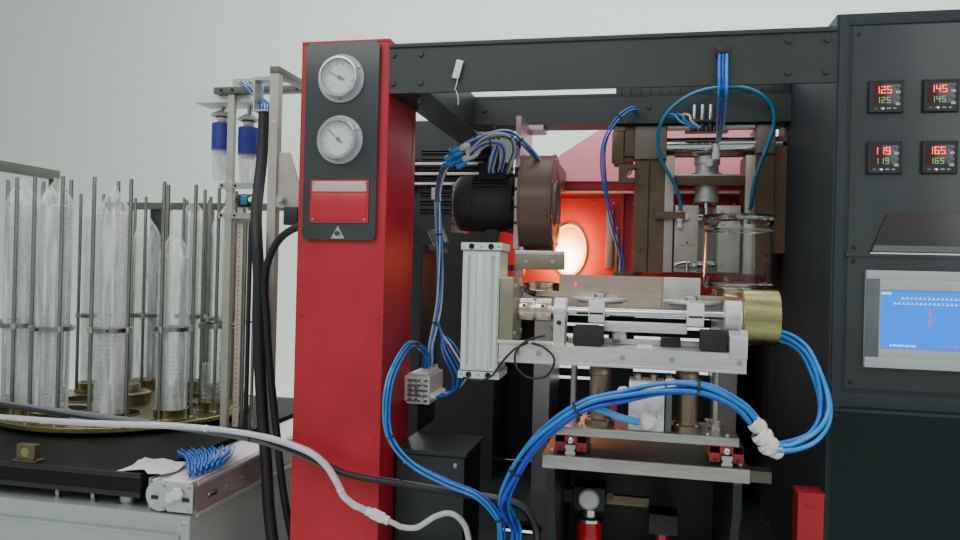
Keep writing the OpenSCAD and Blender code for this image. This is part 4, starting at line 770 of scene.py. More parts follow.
k.box((173, -92, 1669), (237, -8, 1675), MOTOR, 1.6)
for x in (180, 230):
    k.screw((x, -84, 1675), (0, 0, 1), 3, 2, STEEL)
k.lathe((205, -90, 1656), (0, -1, 0), [(10.5, -1), (10.5, -0.2), (7.2, -0.2)], PLB, 20)
k.box((188, -72, 1497), (216, -28, 1538), MOTOR, 3)
k.box((236, -76, 1530), (256.6, -24, 1654), MOTOR, 3)
k.hexa((240, -90, 1600), (1, 0, 0), 10, 12, STEEL)
mb = k.done("motor_body", "machine")
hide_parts("blower_motor")

# ---------------------------------------------------------------- clamp station
k = Kit()
k.box((446, -6, 1684), (471, 5, 1752), BROWN, 3)
k.box((450, -7, 1752), (474, 40, 1764), CAPB, 3)
k.box((472, -2, 1700), (494, 8, 1762), BROWN, 2)
k.prism([(0, 0), (34, 0), (34, 12), (20, 12), (14, 20), (20, 30), (34, 30), (34, 40), (0, 40)], 16, BROWN, (462, -2, 1640), (1, 0, 0), (0, 0, 1), 0.8)
k.lathe((480, -3, 1668), (0, -1, 0), [(0, 4), (9, 4), (10, 2.5), (10, 0)], BRASS, 24)
k.box((493, -7, 1692), (560, 30, 1764), CAPB, 5)
k.box((560, -6, 1757), (735, 8, 1762), WHITE, 1)
k.box((737, -8, 1702), (776, 30, 1765), CAPB, 8)
k.box((524.5, -1.2, 1456), (527, 0.4, 1690), BLACK, 0.3)
k.box((540.5, -15, 1567), (560, -13.4, 1581), BROWN, 0.5)
k.lathe((590, -10, 1582), (0, 0, 1), [(4.2, -1), (7.6, -1), (7.6, 0), (6.8, 0.3), (4.2, 0.3)], WHITE, 18)
k.lathe((590, -10, 1566), (0, 0, -1), [(7, -1), (7, 4), (5, 5), (5, 12), (6, 13), (6, 18), (0, 19)], WHITE, 18)
k.lathe((729, 8, 1590), (0, -1, 0), [(4.2, -1), (7.2, -1), (7.2, 0.2), (4.2, 0.3)], BLACK, 18)
k.lathe((472, 30, 1452), (0, 0, 1), [(6.2, -1), (9, -1), (9, 0.2), (6.2, 0.3)], WHITE, 18)
for z in (1500, 1640):
    k.lathe((508, 0, z), (0, -1, 0), [(0, 1.2), (4.4, 1), (5.4, 0)], BROWN, 16)
k.box((557.5, 92.4, 1455), (738.5, 94.2, 1599.6), MOULD, 0.4)
k.box((557.5, 2, 1455), (576.5, 8, 1701), MOULD, 1.0)
k.box((719.5, 2, 1455), (738.5, 8, 1701), MOULD, 1.0)
k.box((577, 12.4, 1659), (719, 15.4, 1663), STEEL, 0.6)
k.box((577, 13.4, 1640), (719, 15.2, 1659), BROWN, 0.6)
k.box((600, 40, 1762), (690, 92, 1769.5), BLACK, 1)
for x in (612, 628, 644, 660):
    k.cyl((x, -30, 1764), (x, -30, 1800), 4, CHROME, 14)
    k.cyl((x, -30, 1746), (x, -30, 1764), 6.5, BLACK, 14)
k.box((600, -40, 1762), (672, -20, 1768), BLACK, 1)
k.box((600, -22, 1762), (672, 10, 1768), BLACK, 1)
k.lathe((646, 45, 1606), (0, 0, 1), [(24.1, 0), (26, 0.6), (26, 10), (24.2, 12), (24.2, 30), (25.4, 31), (25.4, 34)], ALU, 40)
k.lathe((646, 45, 1662), (0, 0, 1), [(30, 0.2), (31, 1), (31, 6), (24.6, 8), (24.2, 24), (27, 26), (27, 40)], ALU, 40)
k.lathe((646, 16, 1686), (0, -1, 0), [(0, 22), (5, 22), (5, 14), (8, 14), (8, 6), (6, 5), (6, 0)], CHROME, 18)
k.cyl((646, -2, 1686), (659, -6, 1694), 4, WHITE, 12)
k.lathe((659, -6, 1690), (0, 0, 1), [(4.4, 0), (8.4, 1), (8.4, 14), (7, 16), (7, 33), (0, 33.4)], WHITE, 18)
k.done("clamp_details", "machine")

k = Kit()
k.box((580.5, 2, 1478), (627.8, 5, 1596), MOULD, 1.2)
k.box((588, 0, 1512), (622, 2.4, 1562), MOULD, 0.8)
k.lathe((602, 1, 1571), (0, -1, 0), [(0, 13), (5, 13), (5.6, 10), (5, 8), (7.4, 7.6), (7.4, 0)], WHITE, 18)
k.lathe((606, -3, 1518), (0, -1, 0), [(0, 1), (2.2, 1), (2.2, 0)], BLACK, 12)
k.box((579, -8, 1468), (627.6, 2, 1476), STEEL, 1)
k.sweep([(584, -10, 1472), (596, -14, 1476), (612, -12, 1478), (623, -9, 1474)], 3, CHROME, 10)
k.cyl((606, -12, 1456), (606, -12, 1474), 4, CHROME, 14)
k.hexa((620, -8, 1472), (0, -1, 0), 9, 5, CHROME)
k.done("mould_left_details", "mold_left")
k = Kit()
k.box((664.2, 2, 1458), (711.5, 5, 1596), MOULD, 1.2)
for x, z in ((674, 1584), (702, 1584), (674, 1474), (702, 1474)):
    k.screw((x, 1, z), (0, -1, 0), 2.8, 2, STEEL)
k.lathe((688, 1, 1550), (0, -1, 0), [(0, 11), (4.4, 11), (5, 8), (7, 7.6), (7, 0)], BRASS, 18)
k.done("mould_right_details", "mold_right")

# ---------------------------------------------------------------- bench
k = Kit()
# rotary actuator: cap joints, ports, cap screws
for z in (1292, 1481):
    k.box((234.6, -478.4, z - 0.8), (300.4, -401.6, z + 0.8), GREYP, 0.2)
for z in (1286, 1487):
    for x in (252, 283):
        k.lathe((x, -478, z), (0, -1, 0), [(4.6, 0), (4.6, 0.7), (3.5, 0.7), (3.3, -2), (0, -2)], BLACK, 20)
    for x in (239.5, 267.5, 295.5):
        k.screw((x, -478, z), (0, -1, 0), 2.2, 0.8, STEEL)
for x in (243, 256, 279, 292):
    k.box((x, -478.2, 1296), (x + 3, -475.8, 1477), ACT, 0.6)
k.box((262, -477.6, 1296), (272, -476, 1477), ACT, 0.5)
k.done("actuator_details", "lift")

k = Kit()
k.box((300.4, -484, 1339), (321, -481.8, 1438), OLIVE, 1)
k.box((317.8, -482, 1339), (321, -398, 1440), OLIVE, 1)
for z in (1352, 1426):
    for y in (-470, -410):
        k.screw((321, y, z), (1, 0, 0), 4.4, 3, STEEL)
k.box((298, -486, 1338), (382, -480, 1343), ALUW, 0.8)
k.box((300, -484.5, 1309), (665, -482, 1313), ALUW, 0.6)
k.box((641, -484, 1330), (666, -420, 1364), ALUW, 1.4)
k.box((655, -483.6, 1338), (665.6, -421, 1372), ALUW, 1.4)
for x in (330, 362, 488, 560, 655):
    k.screw((x, -482, 1325), (0, -1, 0), 4.2, 2.4, STEEL)
for x in (345, 520):
    k.screw((x, -451, 1336), (0, 0, 1), 5.2, 4, STEEL)
# bearing pedestal caps
for x in (381, 399.4):
    k.lathe((x, -440, 1390), (1, 0, 0), [(7, 0), (19.4, 0), (19.4, 0.8), (7, 0.8), (7, 0)], WHITE, 36)
k.lathe((657.6, -440, 1390), (1, 0, 0), [(7, 0), (23.6, 0), (24, 0.8), (24, 3), (22, 4), (7, 4), (7, 0)], WHITE, 44)
k.lathe((637.4, -440, 1390), (1, 0, 0), [(7, 0), (22, 0), (23.6, 1.2), (23.6, 3.6)], WHITE, 44)
k.box((388, -466, 1340), (393, -463.6, 1376), ALUW, 0.5)
k.hexa((390.5, -466, 1372), (0, -1, 0), 7, 4, BLACK)
# polished half discs, tray and small parts behind the shaft
k.box((400, -418, 1338), (640, -404, 1346), ALUW, 1)
k.lathe((470, -424, 1355), (1, 0, 0), [(4, 0), (13, 0), (14, 1.4), (14, 12), (13, 13.4), (4, 13.4), (4, 0)], STEEL, 28)
k.lathe((484, -430, 1353), (0, -1, 0), [(0, 2), (5, 2), (8, 2.5), (9.5, 0), (9.5, -8)], CHROME, 24)
k.box((545, -430, 1339), (575, -410, 1352), BLACK, 1.2)
k.box((509, -476, 1338), (532, -456, 1343), WHITE, 1)
k.lathe((690, -383, 1360), (-1, 0, 0), [(10.2, 1), (13, 1.4), (13, 9), (11.6, 10), (11.6, 16)], WHITE, 24)
k.box((664, -396, 1344), (682, -370, 1376), WHITE, 1.4)
k.done("bench_details", "lift")

k = Kit()
for x in (414, 602):
    k.box((x - 1, -475, 1340), (x + 43 if x == 414 else x + 26, -472, 1368.6), RUB, 1.2)
k.box((448, -474, 1340), (458, -428, 1367), RUB, 1.2)
k.done("stop_faces", "lift")

k = Kit()
for x in (321, 350):
    for q in range(3):
        a = math.radians(40 + 120 * q)
        k.screw((x + 13, -440 + 17.6 * math.cos(a), 1390 + 17.6 * math.sin(a)), (0, math.cos(a), math.sin(a)), 2.6, 1.4, BLACK)
    k.lathe((x, -440, 1390), (1, 0, 0), [(17.8, 0), (18.3, 0.6), (18.3, 6), (17.6, 6.6), (17.6, 9), (18.3, 9.6), (18.3, 25.4), (17.8, 26)], POL, 44)
for x in (435, 583):
    k.box((x - 0.6, -457, 1373), (x + 23.6, -424, 1408), WHITE, 2.0)
    k.box((x + 1, -457.6, 1386), (x + 22, -456.4, 1389), BLACK, 0.2)
    k.screw((x + 6, -448, 1408), (0, 0, 1), 2.8, 2.6, STEEL)
    k.screw((x + 17, -448, 1408), (0, 0, 1), 2.8, 2.6, STEEL)
    k.lathe((x + 11.5, -352, 1400), (0, 0, 1), [(0, 9), (44, 9), (46.5, 7.5), (46.5, 4), (38, 3), (36, 0.2)], ALUW, 56)
    k.lathe((x + 11.5, -352, 1409), (0, 0, 1), [(10, 0), (10, 5), (8, 7), (0, 7)], STEEL, 24)
k.box((458, -446, 1360), (583, -436, 1376), ALUW, 1.6)
for x in (338, 676):
    k.lathe((x, -250, 1404), (0, 0, 1), [(20, 0), (39, 10), (41, 13), (41, 17), (39.4, 18.4), (39.4, 21), (41, 22), (41, 26), (36, 27.2), (30, 26), (0, 26)], POL, 56)
    for q in range(6):
        a = math.radians(60 * q + 20)
        k.screw((x + 33 * math.cos(a), -250 + 33 * math.sin(a), 1428 if x < 500 else 1423), (0, 0, 1), 2.4, 2, STEEL)
k.box((548, -301.5, 1378), (549, -299.8, 1445), GREYP, 0.1)
k.box((552, -302.4, 1378), (611.6, -300, 1445.6), STEEL, 0.8)
for x in (388, 600):
    for z in (1386, 1436):
        k.screw((x, -300, z), (0, -1, 0), 3, 2.2, STEEL)
k.done("flip_details", "flipper")

k = Kit()
k.lathe((661.6, -440, 1390), (1, 0, 0), [(12, 0), (38, 0), (41.2, 1.6), (41.2, 49), (38.6, 50.8), (30, 50.8), (28, 48), (12, 48)], BRASS, 72)
k.lathe((712, -440, 1390), (1, 0, 0), [(11, 0), (11, 1.2), (8, 1.6), (8, 4.6), (0, 5)], STEEL, 28)
k.done("roller_finish", "flipper")

k = Kit()
# the jar in its holder: rim folds, embossed rings and the rough foot
for h, r in ((8, 58.4), (100, 57.6), (118, 60.2)):
    k.lathe((676, -250, 1428), (0, 0, 1), [(r, h), (r + 0.9, h + 1), (r + 0.9, h + 2.6), (r, h + 3.6)], JAR, 64)
k.lathe((676, -250, 1428), (0, 0, 1), [(56.2, 124), (60, 128.4), (60.8, 127), (60.8, 120), (60.1, 118)], JAR, 64, wob=lambda r, h, t: r + 0.5 * math.sin(t * 9) * (1 if h > 119 else 0))
k.lathe((676, -250, 1428.4), (0, 0, 1), [(0, 5), (18, 6), (34, 3.6), (47, 4), (50, 1)], JAR, 48, wob=lambda r, h, t: r + 0.8 * math.sin(t * 12))
k.done("jar_details", "flipper")

k = Kit()
# carriage: red end caps, grease nipples, plate screws, valve block with taped fittings
for x in (415, 640):
    for y0, y1 in ((-486, -482), (-400, -396)):
        for s in (-1, 1):
            xa, xb = sorted((x + s * 8.4, x + s * 24))
            k.box((xa, y0, 1179.5), (xb, y1, 1203), REDP, 1.2)
        k.box((x - 24, y0, 1192), (x + 24, y1, 1203), REDP, 1.2)
    k.lathe((x, -486, 1197), (0, -1, 0), [(4, 0), (4, 3), (2.4, 3.6), (2.4, 7), (3.4, 8), (3.4, 10), (0, 11.4)], CHROME, 16)
    for s in (-16, 16):
        k.lathe((x + s, -486, 1184), (0, -1, 0), [(0, 1), (2.2, 1), (2.2, 0)], BLACK, 10)
for x in (400, 428, 614, 642):
    k.screw((x, -474, 1216), (0, 0, 1), 3.6, 3, STEEL)
k.box((385, -486, 1203.5), (657, -484, 1215.5), STEEL, 0.8)
for x in (413, 628):
    k.lathe((x, -430, 1216), (0, 0, 1), [(5.1, 0), (11, 0.4), (11, 5), (8, 6), (8, 10), (5.2, 11)], STEEL, 28)
    k.lathe((x, -430, 1216), (0, 0, 1), [(5.25, 11), (5.25, 94)], STEELV, 24)
    k.hexa((x, -430, 1226), (0, 0, 1), 13, 5, STEEL)
for x in (455, 585):
    for q in range(4):
        a = math.radians(45 + 90 * q)
        k.screw((x + 19.4 * math.cos(a), -445 + 19.4 * math.sin(a), 1224), (0, 0, 1), 2.4, 2, STEEL)
    k.lathe((x, -445, 1224), (0, 0, 1), [(16.1, 0), (18, 0.6), (18, 4), (16.3, 6), (16.3, 68), (17.4, 69), (17.4, 79), (16.2, 80.6)], BRONZE, 40)
k.box((499, -480, 1217), (551, -476, 1286), WHITE, 1.6)
k.box((499, -479, 1284), (551, -424, 1289), WHITE, 1.6)
k.box((553, -476, 1216), (562, -440, 1300), GREYP, 1.2)
for (x, y, z, r) in ((492, -482, 1270, 11), (560, -474, 1288, 9), (536, -486, 1262, 13), (528, -486, 1232, 12), (506, -484, 1232, 9)):
    k.lathe((x, y + 6, z), (0, -1, 0), [(0, 12), (r * 0.7, 11), (r, 7), (r * 0.94, 4), (r, 1), (r * 0.9, -3)], TAPE, 20, wob=lambda rr, h, t: rr * (1 + 0.10 * math.sin(3 * t + h)))
k.lathe((477, -484, 1262), (1, 0.2, 0.2), [(0, 0), (7, 1), (9, 6), (8, 16), (9, 20), (0, 22)], TAPE, 18)
k.box((540, -482, 1236), (549, -478, 1262), CHROME, 1.4)
k.box((470, -470, 1240), (482, -456, 1262), REDP, 1.2)
k.done("carriage_details", "carriage")

k = Kit()
k.box((374.5, -501.4, 1156), (670.5, -499.6, 1175), STEEL, 0.7)
for x in (386, 660):
    for y in (-478, -240):
        k.screw((x, y, 1176), (0, 0, 1), 4.2, 3.6, STEEL)
for y in range(-480, -210, 54):
    for x in (415, 640):
        k.lathe((x, y, 1191), (0, 0, 1), [(3.2, 0.06), (2.6, -0.4), (0, -0.4)], BLACK, 14)
# air filter: head, gloss red bowl with its collar, gauge and drain
k.lathe((435, -300, 960), (0, 0, 1), [(0, -6), (5, -6), (6, 0), (14, 1), (20, 6), (22.4, 16), (22.4, 58), (20, 62)], REDG, 40)
k.lathe((435, -300, 1018), (0, 0, 1), [(23, 0), (24.4, 1), (24.4, 6), (22, 8), (15.4, 9), (15.4, 24)], CHROME, 40)
k.box((408, -328, 1044), (462, -274, 1082), BLACK, 2.5)
k.lathe((435, -328, 1063), (0, -1, 0), [(0, 7), (16, 7), (18, 5), (18, 0)], SILV, 32)
k.lathe((435, -335.2, 1063), (0, -1, 0), [(0, 0.4), (14, 0.4), (14, 0)], DIAL, 32)
for x in (405, 465):
    k.hexa((x if x > 435 else 409, -300, 1062), (1 if x > 435 else -1, 0, 0), 16, 10, BRASS)
# second small red bowl and pipework under the bench
k.lathe((560, -300, 930), (0, 0, 1), [(0, 0), (16, 2), (19, 10), (19, 56), (17, 60), (12, 62), (12, 84)], REDG, 36)
k.box((536, -326, 1012), (584, -276, 1046), BLACK, 2)
k.box((462, -306, 1050), (536, -294, 1066), BRASSD, 1.5)
k.box((288, -447, 978), (347, -413, 983), ALUW, 1)
k.done("bench_base_details", "machine")

k = Kit()
# junction box lid, latches; corner channel rivets; manifold fittings
k.box((75, -306, 1110), (214, -154, 1118), FRAME, 1.6)
k.box((80.5, -301.4, 930), (208.5, -300, 1108), FRAME, 0.6)
for x in (96, 192):
    k.screw((x, -301, 1094), (0, -1, 0), 4, 2, STEEL)
    k.screw((x, -301, 940), (0, -1, 0), 4, 2, STEEL)
for z in (930, 1095):
    for x in (775, 785):
        k.screw((x, -375, z), (0, -1, 0), 3, 1.4, RED)
k.box((759.6, -376.4, 1112), (800, -334, 1116), RED, 1)
for i in range(5):
    y = -236 + 18 * i
    k.lathe((113, y, 1246), (0, 0, 1), [(6.4, 0), (6.4, 5), (4.8, 6), (4.8, 11)], WHITE, 16)
    k.lathe((125, y, 1205), (1, 0, 0), [(6.4, 0), (6.4, 5), (4.8, 6), (4.8, 9)], WHITE, 16)
    k.box((82, -252, 1196 + 9.6 * i), (122, -250, 1200 + 9.6 * i), GREYP, 0.4)
for j in range(4):
    for i in range(3):
        k.lathe((88 + 12 * i, -250, 1200 + 12 * j), (0, -1, 0), [(0, 5), (3.6, 5), (4, 4), (4, 0)], CHROME, 14)
k.box((84, -253, 1247), (121, -160, 1250), WHITE, 0.8)
k.done("box_and_manifold_details", "machine")

# ---------------------------------------------------------------- feeder
import_r = random.Random(3)
tops = [1590, 1560, 1585, 1530, 1575, 1590, 1560, 1585, 1580, 1565, 1470, 1200]
CX, CY, CR, A0 = -811, 135, 260, 28
k = Kit()
for i in range(12):
    a = math.radians(A0 + 30 * i)
    cx_, cy_ = CX + CR * math.cos(a), CY + CR * math.sin(a)
    h = tops[i] - 1078
    prof = [(0, 0.4), (30, 0.4), (31.5, 3)]
    nn = int((h - 40) / 10)
    for q in range(nn):
        z = 10 + (h - 40) * q / nn
        prof += [(32.0, z), (33.6, z + 6.6), (34.6, z + 7.2), (34.4, z + 8.4), (32.2, z + 8.8)]
    prof += [(33.0, h - 24), (34, h - 12), (34, h - 8), (27, h - 4), (0, h - 4)]
    k.lathe((cx_, cy_, 1078), (0, 0, 1), prof, CUP, 32)
cups = k.done("nested_cups", "carousel", 60)
k = Kit()
for i in range(12):
    a = math.radians(A0 + 30 * i)
    cx_, cy_ = CX + CR * math.cos(a), CY + CR * math.sin(a)
    h = tops[i] - 1078
    if h < 200:
        continue
    seed = import_r.random() * 50
    prof = [(35.6, 1.0), (36.2, 6)]
    for q in range(46):
        prof.append((36.4, 10 + (h - 40) * q / 45))
    cone = [(36.2, h - 24), (35.2, h - 12), (33.2, h - 2), (30.2, h + 8), (26.2, h + 17), (21.5, h + 26), (16.5, h + 34), (11.5, h + 42), (7, h + 49), (3.6, h + 54), (5.5, h + 57), (7.5, h + 58)]
    prof += cone

    def wob(r, hh, t, seed=seed, h=h):
        v = Vector((math.cos(t) * 2.1 + seed, math.sin(t) * 2.1, hh * 0.03))
        w = noise.noise(v) * 1.2 + noise.noise(v * 3.1) * 0.8 + 0.35 * math.sin(17 * t + hh * 0.01)
        if hh > h - 40:
            f = min(1, (hh - h + 40) / 50)
            w += f * (0.10 * r * math.sin(13 * t + seed) + 0.05 * r * math.sin(29 * t))
        return max(1.2, min(39.0, r + w))
    k.lathe((cx_, cy_, 1078), (0, 0, 1), prof, FILM, 72, wob)
film = k.done("film_sleeves", "carousel", 80)
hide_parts("cup_stacks")

k = Kit()
for i in range(12):
    a = A0 + 30 * i
    ar = math.radians(a)
    cx_, cy_ = CX + CR * math.cos(ar), CY + CR * math.sin(ar)
    for q in (60, 180, 300):
        b = math.radians(a + q)
        x, y = cx_ + 44.5 * math.cos(b), cy_ + 44.5 * math.sin(b)
        k.lathe((x, y, 1283), (0, 0, 1), [(4.6, 0), (7.6, 0.6), (7.6, 13), (4.6, 14)], STEEL, 14)
        k.hexa((x, y, 1073), (0, 0, 1), 12, 5, STEEL)
        k.lathe((x, y, 1639), (0, 0, 1), [(4.4, 0), (4.1, 1.4), (0, 1.6)], ROD, 14)
    k.screw((cx_ + 45 * math.cos(ar), cy_ + 45 * math.sin(ar), 1290), (math.cos(ar), math.sin(ar), 0), 2.6, 6, BLACK)
    k.lathe((cx_, cy_, 1072), (0, 0, 1), [(39.6, 0), (44, 0.4), (44, 4), (40.1, 5), (40.1, 22), (40.6, 23), (40.6, 26), (37, 26.4)], BRASS, 48)
for q in range(6):
    a = math.radians(60 * q)
    k.lathe((CX + 150 * math.cos(a), CY + 150 * math.sin(a), 1072), (0, 0, 1), [(45, -11), (45, 0.3), (48.5, 0.6), (48.5, 3), (45.4, 3.4)], BRASSD, 40)
k.lathe((CX, CY, 1102), (0, 0, 1), [(55, 0), (52, 2), (30, 3), (28, 22), (26, 24), (0, 24)], BRASSD, 48)
for q in range(24):
    a = math.radians(15 * q + 7)
    k.screw((CX + 303 * math.cos(a), CY + 303 * math.sin(a), 1072), (0, 0, 1), 3, 2.6, STEEL)
k.lathe((CX, CY, 1060), (0, 0, 1), [(311.9, 0.4), (313, 1.4), (313, 10.4), (311.6, 11.8)], BRASS, 128)
k.done("carousel_hardware", "carousel")

k = Kit()
# table edge, spacer bushes, sensor block, guard rails behind the stacks
k.box((-1199, -374, 1040), (-400, -371, 1049.5), BLACK, 1.2)
k.box((-1199, -373.6, 1004), (-400, -371, 1014), BLACK, 1.2)
for x in (-1150, -800, -450):
    for y in (-340, 440):
        k.lathe((x, y, 980), (0, 0, 1), [(15.2, 0), (19, 0.4), (19, 4), (15.6, 5), (15.6, 22.6)], STEEL, 26)
for x in (-600, -520):
    k.cyl((x, -350, 980), (x, -350, 1003), 5, STEEL, 14)
    k.hexa((x, -350, 980), (0, 0, 1), 14, 6, STEEL)
k.box((-692, -367, 1048), (-638, -343, 1053), BRASSD, 1)
k.box((-686, -363.4, 1053), (-644, -348.6, 1083), BRASSD, 1.6)
k.lathe((-665, -363.4, 1068), (0, -1, 0), [(0, 0.5), (5.5, 1), (9.5, 1), (9.5, 0)], BRASS, 24)
for x in (-684, -646):
    k.screw((x, -355, 1053), (0, 0, 1), 2.6, 2.4, STEEL)
k.done("feeder_table_details", "machine")
k = Kit()
k.box((-1198, -340, 1684), (-1178, 292, 1713), OLIVEP, 1.5)
for y in (-340, 268):
    k.box((-1197, y, 1048), (-1179, y + 22, 1685), OLIVEP, 1.5)
k.box((-1150, 440, 1612), (-420, 452, 1634), OLIVEP, 1.2)
k.box((-1150, 452, 1048), (-1132, 470, 1634), OLIVEP, 1.2)
for x0, x1, mt in ((-1108, -1070, WHITE), (-1062, -1040, STEELV), (-985, -948, BLACK), (-938, -912, WHITE), (-846, -818, SILV), (-800, -770, BROWN), (-700, -676, SILV)):
    k.box((x0, 446, 1048), (x1, 458, 1612), mt, 1.2)
k.box((-440, 436, 1048), (-420, 456, 1634), STEELV, 1.2)
k.done("guard_rails", "machine")

k = Kit()
k.box((-1199.4, -376.6, 948), (-292.6, -375, 979), PALE, 0.8)
k.box((-308, -376.6, 62), (-293, -375, 948), PALE, 0.8)
for x in (-1180, -305):
    for z in (965, 80):
        k.lathe((x, -376.6, z), (0, -1, 0), [(0, 2), (3, 1.6), (4.4, 0.2), (4.4, 0)], STEEL, 16)
for i in range(10):
    k.box((-900, 490, 299 + 30 * i), (-600, 493, 302 + 30 * i), PALE, 0.6)
k.done("feeder_cabinet_trim", "machine")
k = Kit()
k.box((-1180, -379, 938), (-317, -378, 943), PALE, 0.3)
k.box((-318, -379.2, 80), (-314, -378, 940), PALE, 0.3)
k.lathe((-335, -392, 560), (0, -1, 0), [(0, 3), (6, 3), (7.6, 2), (7.6, 0)], CHROME, 24)
k.box((-347, -385.4, 498), (-323, -383.6, 602), BLACK, 1.2)
for i in range(8):
    k.box((-900, -379.6, 180 + 22 * i), (-620, -378, 188 + 22 * i), PALE, 0.6)
k.done("feeder_door_trim", "feeder_door_leaf")

# ---------------------------------------------------------------- conveyor
k = Kit()
k.box((-340, -378, 986), (-287, -374.6, 1040), SILV, 1)
k.lathe((-357, -374.8, 1013), (0, -1, 0), [(0, 3), (27, 3), (28.6, 1.6), (28.6, 0)], SILV, 44)
k.lathe((-312, -385, 1024), (0, -1, 0), [(6, 0), (11, 1), (13, 4), (11, 7), (6, 8), (0, 8)], WHITE, 6)
k.lathe((-332, -378, 1012), (0, -1, 0), [(0, 6), (8, 6), (10.6, 3), (10.6, 0)], WHITE, 8)
for x in (-365, -300):
    k.box((x - 7, -380, 1007), (x + 7, -377.8, 1014), BLACK, 0.8)
for (x, z) in ((-345, 1034), (-293, 1034), (-293, 992), (-345, 992)):
    k.screw((x, -378, z), (0, -1, 0), 2.8, 2, STEEL)
k.box((-284.8, -366, 976), (-282.6, 418, 984), ALU, 0.6)
k.box((-284.8, -366, 1034), (-282.6, 418, 1041), ALU, 0.6)
k.box((-376, -372, 1038), (-296, -330, 1041), WHITE, 1.2)
for y in range(-330, 400, 60):
    k.lathe((-282.8, y, 1009), (1, 0, 0), [(0, 2), (3, 2), (4, 1), (4, 0)], STEEL, 14)
# folded white film lying on the belt nose
vs = []; n1, n2 = 14, 10
for i in range(n1 + 1):
    for j in range(n2 + 1):
        u, v = i / n1, j / n2
        x = -455 + 95 * u; y = -368 + 90 * v
        z = 1049 + 5 * math.sin(3 * u + 2 * v) ** 2 + 4 * noise.noise(Vector((u * 4, v * 4, 1))) if x < -400 else 1045 + 3 * math.sin(5 * u + 3 * v) ** 2 + 2
        vs.append((x + 6 * math.sin(4 * v), y + 8 * math.sin(3 * u), max(z, 1049 if x < -398 else 1043)))
top = len(vs)
vs2 = vs + [(x, y, z + 1.2) for x, y, z in vs]
W = n2 + 1
fs = []
for i in range(n1):
    for j in range(n2):
        q = i * W + j
        fs.append([q, q + 1, q + W + 1, q + W]); fs.append([top + q, top + q + W, top + q + W + 1, top + q + 1])
for i in range(n1):
    fs.append([i * W, (i + 1) * W, top + (i + 1) * W, top + i * W]); fs.append([i * W + n2, top + i * W + n2, top + (i + 1) * W + n2, (i + 1) * W + n2])
for j in range(n2):
    fs.append([j, top + j, top + j + 1, j + 1]); fs.append([n1 * W + j, n1 * W + j + 1, top + n1 * W + j + 1, top + n1 * W + j])
k._add([Vector(v) for v in vs2], fs, WHITE)
k.done("conveyor_details", "machine")

# ---------------------------------------------------------------- picker
k = Kit()
for x, dz in ((-551, 0), (-476, -12)):
    k.lathe((x, 126, 1740 + dz), (0, 0, 1), [(17, -0.6), (24, -0.4), (25.4, 1), (25.6, 35), (25.4, 69), (24, 70.6), (15, 71)], NAVY, 48)
    k.lathe((x, 126, 1810 + dz), (0, 0, 1), [(14, 0), (14, 4), (9.4, 5), (17.6, 17.4), (18.2, 18.6), (14, 19)], BROWN, 32)
    k.lathe((x, 126, 1828 + dz), (0, 0, 1), [(17, 0), (28.4, 0.6), (28.6, 3), (24, 8.6), (16, 9.4), (14, 15), (5, 16)], SILV, 40)
    k.lathe((x, 126, 1662 + dz), (0, 0, 1), [(19, 0), (20, 1), (23.4, 60), (24.2, 62), (24.2, 77)], CUP, 40)
    k.lathe((x, 126, 1662 + dz), (0, 0, 1), [(18.6, 2), (22.8, 60), (23, 76)], CUP, 40)
    k.sweep([(x + 8, 118, 1840 + dz), (x + 14, 108, 1848), (x + 12, 104, 1860), (x + 4, 106, 1872)], 1.3, BLACK, 6)
    k.box((x - 9, 104, 1858), (x + 9, 120, 1876), BLACK, 1)
    k.cyl((x + 16, 112, 1836 + dz), (x + 16, 112, 1850), 3, CHROME, 12)
k.box((-590.5, 66, 1858), (-439.5, 72, 1883.6), ALU, 1)
for x in (-580, -530, -500, -450):
    k.screw((x, 66, 1868), (0, 1, 0), 3.4, 9, STEEL)
k.done("picker_details", "picker")
k = Kit()
# olive cap on the top bar, joints, valve block ports, tall guides between table and bar
k.box((-521, 33, 1865), (-284, 58.2, 1881), OLIVEP, 1.2)
k.box((-286, -129, 1865.4), (-264, 33, 1881), OLIVEP, 1.2)
for x in (-500, -470, -300):
    k.screw((x, 33, 1873), (0, -1, 0), 3.6, 3, BLACK)
for z in (1575, 1648):
    for x in (-496, -460, -410):
        k.screw((x, 40, z - 7), (0, -1, 0), 3, 2.6, BLACK)
k.box((-487, 38.6, 1555), (-466, 53, 1582), PICKF, 1.2)
k.box((-487, 38.6, 1628), (-466, 53, 1654), PICKF, 1.2)
for x, r, mt in ((-456, 6.5, BEIGE), (-440, 4.2, ROD), (-428, 5.5, BLACK), (-414, 4.2, ROD)):
    if mt is BEIGE:
        k.box((x - 8, 60, 1048), (x + 8, 64, 1560), mt, 0.8)
        for z in range(1060, 1556, 12):
            k.lathe((x, 60, z), (0, -1, 0), [(0, 0.3), (2, 0.3), (2, 0)], GREYP, 8)
    else:
        k.cyl((x, 62, 1048), (x, 62, 1561), r, mt, 16)
k.box((-462, 56, 1552), (-404, 70, 1561), PICKF, 1)
k.lathe((-446, 40, 1604), (0, -1, 0), [(0, 12), (6, 12), (9, 8), (9, 0)], BLACK, 20)
k.box((-437, 26, 1594), (-420, 40, 1616), TEAL, 1.2)
k.lathe((-412, 40, 1606), (0, -1, 0), [(0, 14), (5, 14), (8, 8), (8, 0)], WHITE, 18)
k.box((-452, 40, 1588), (-404, 50, 1620), BLACK, 1.2)
for j in range(4):
    k.lathe((-442 + 22 * j, 34, 1888), (0, -1, 0), [(0, -2), (5.6, -2), (5.6, 0.3), (4.4, 0.4), (2.4, 0.2)], WHITE, 16)
k.box((-470.6, 33.2, 1880), (-351.6, 34.4, 1882.6), SILV, 0.3)
k.cyl((-350, -60, 1799.6), (-318, -60, 1799.6), 1.2, STEEL, 8)
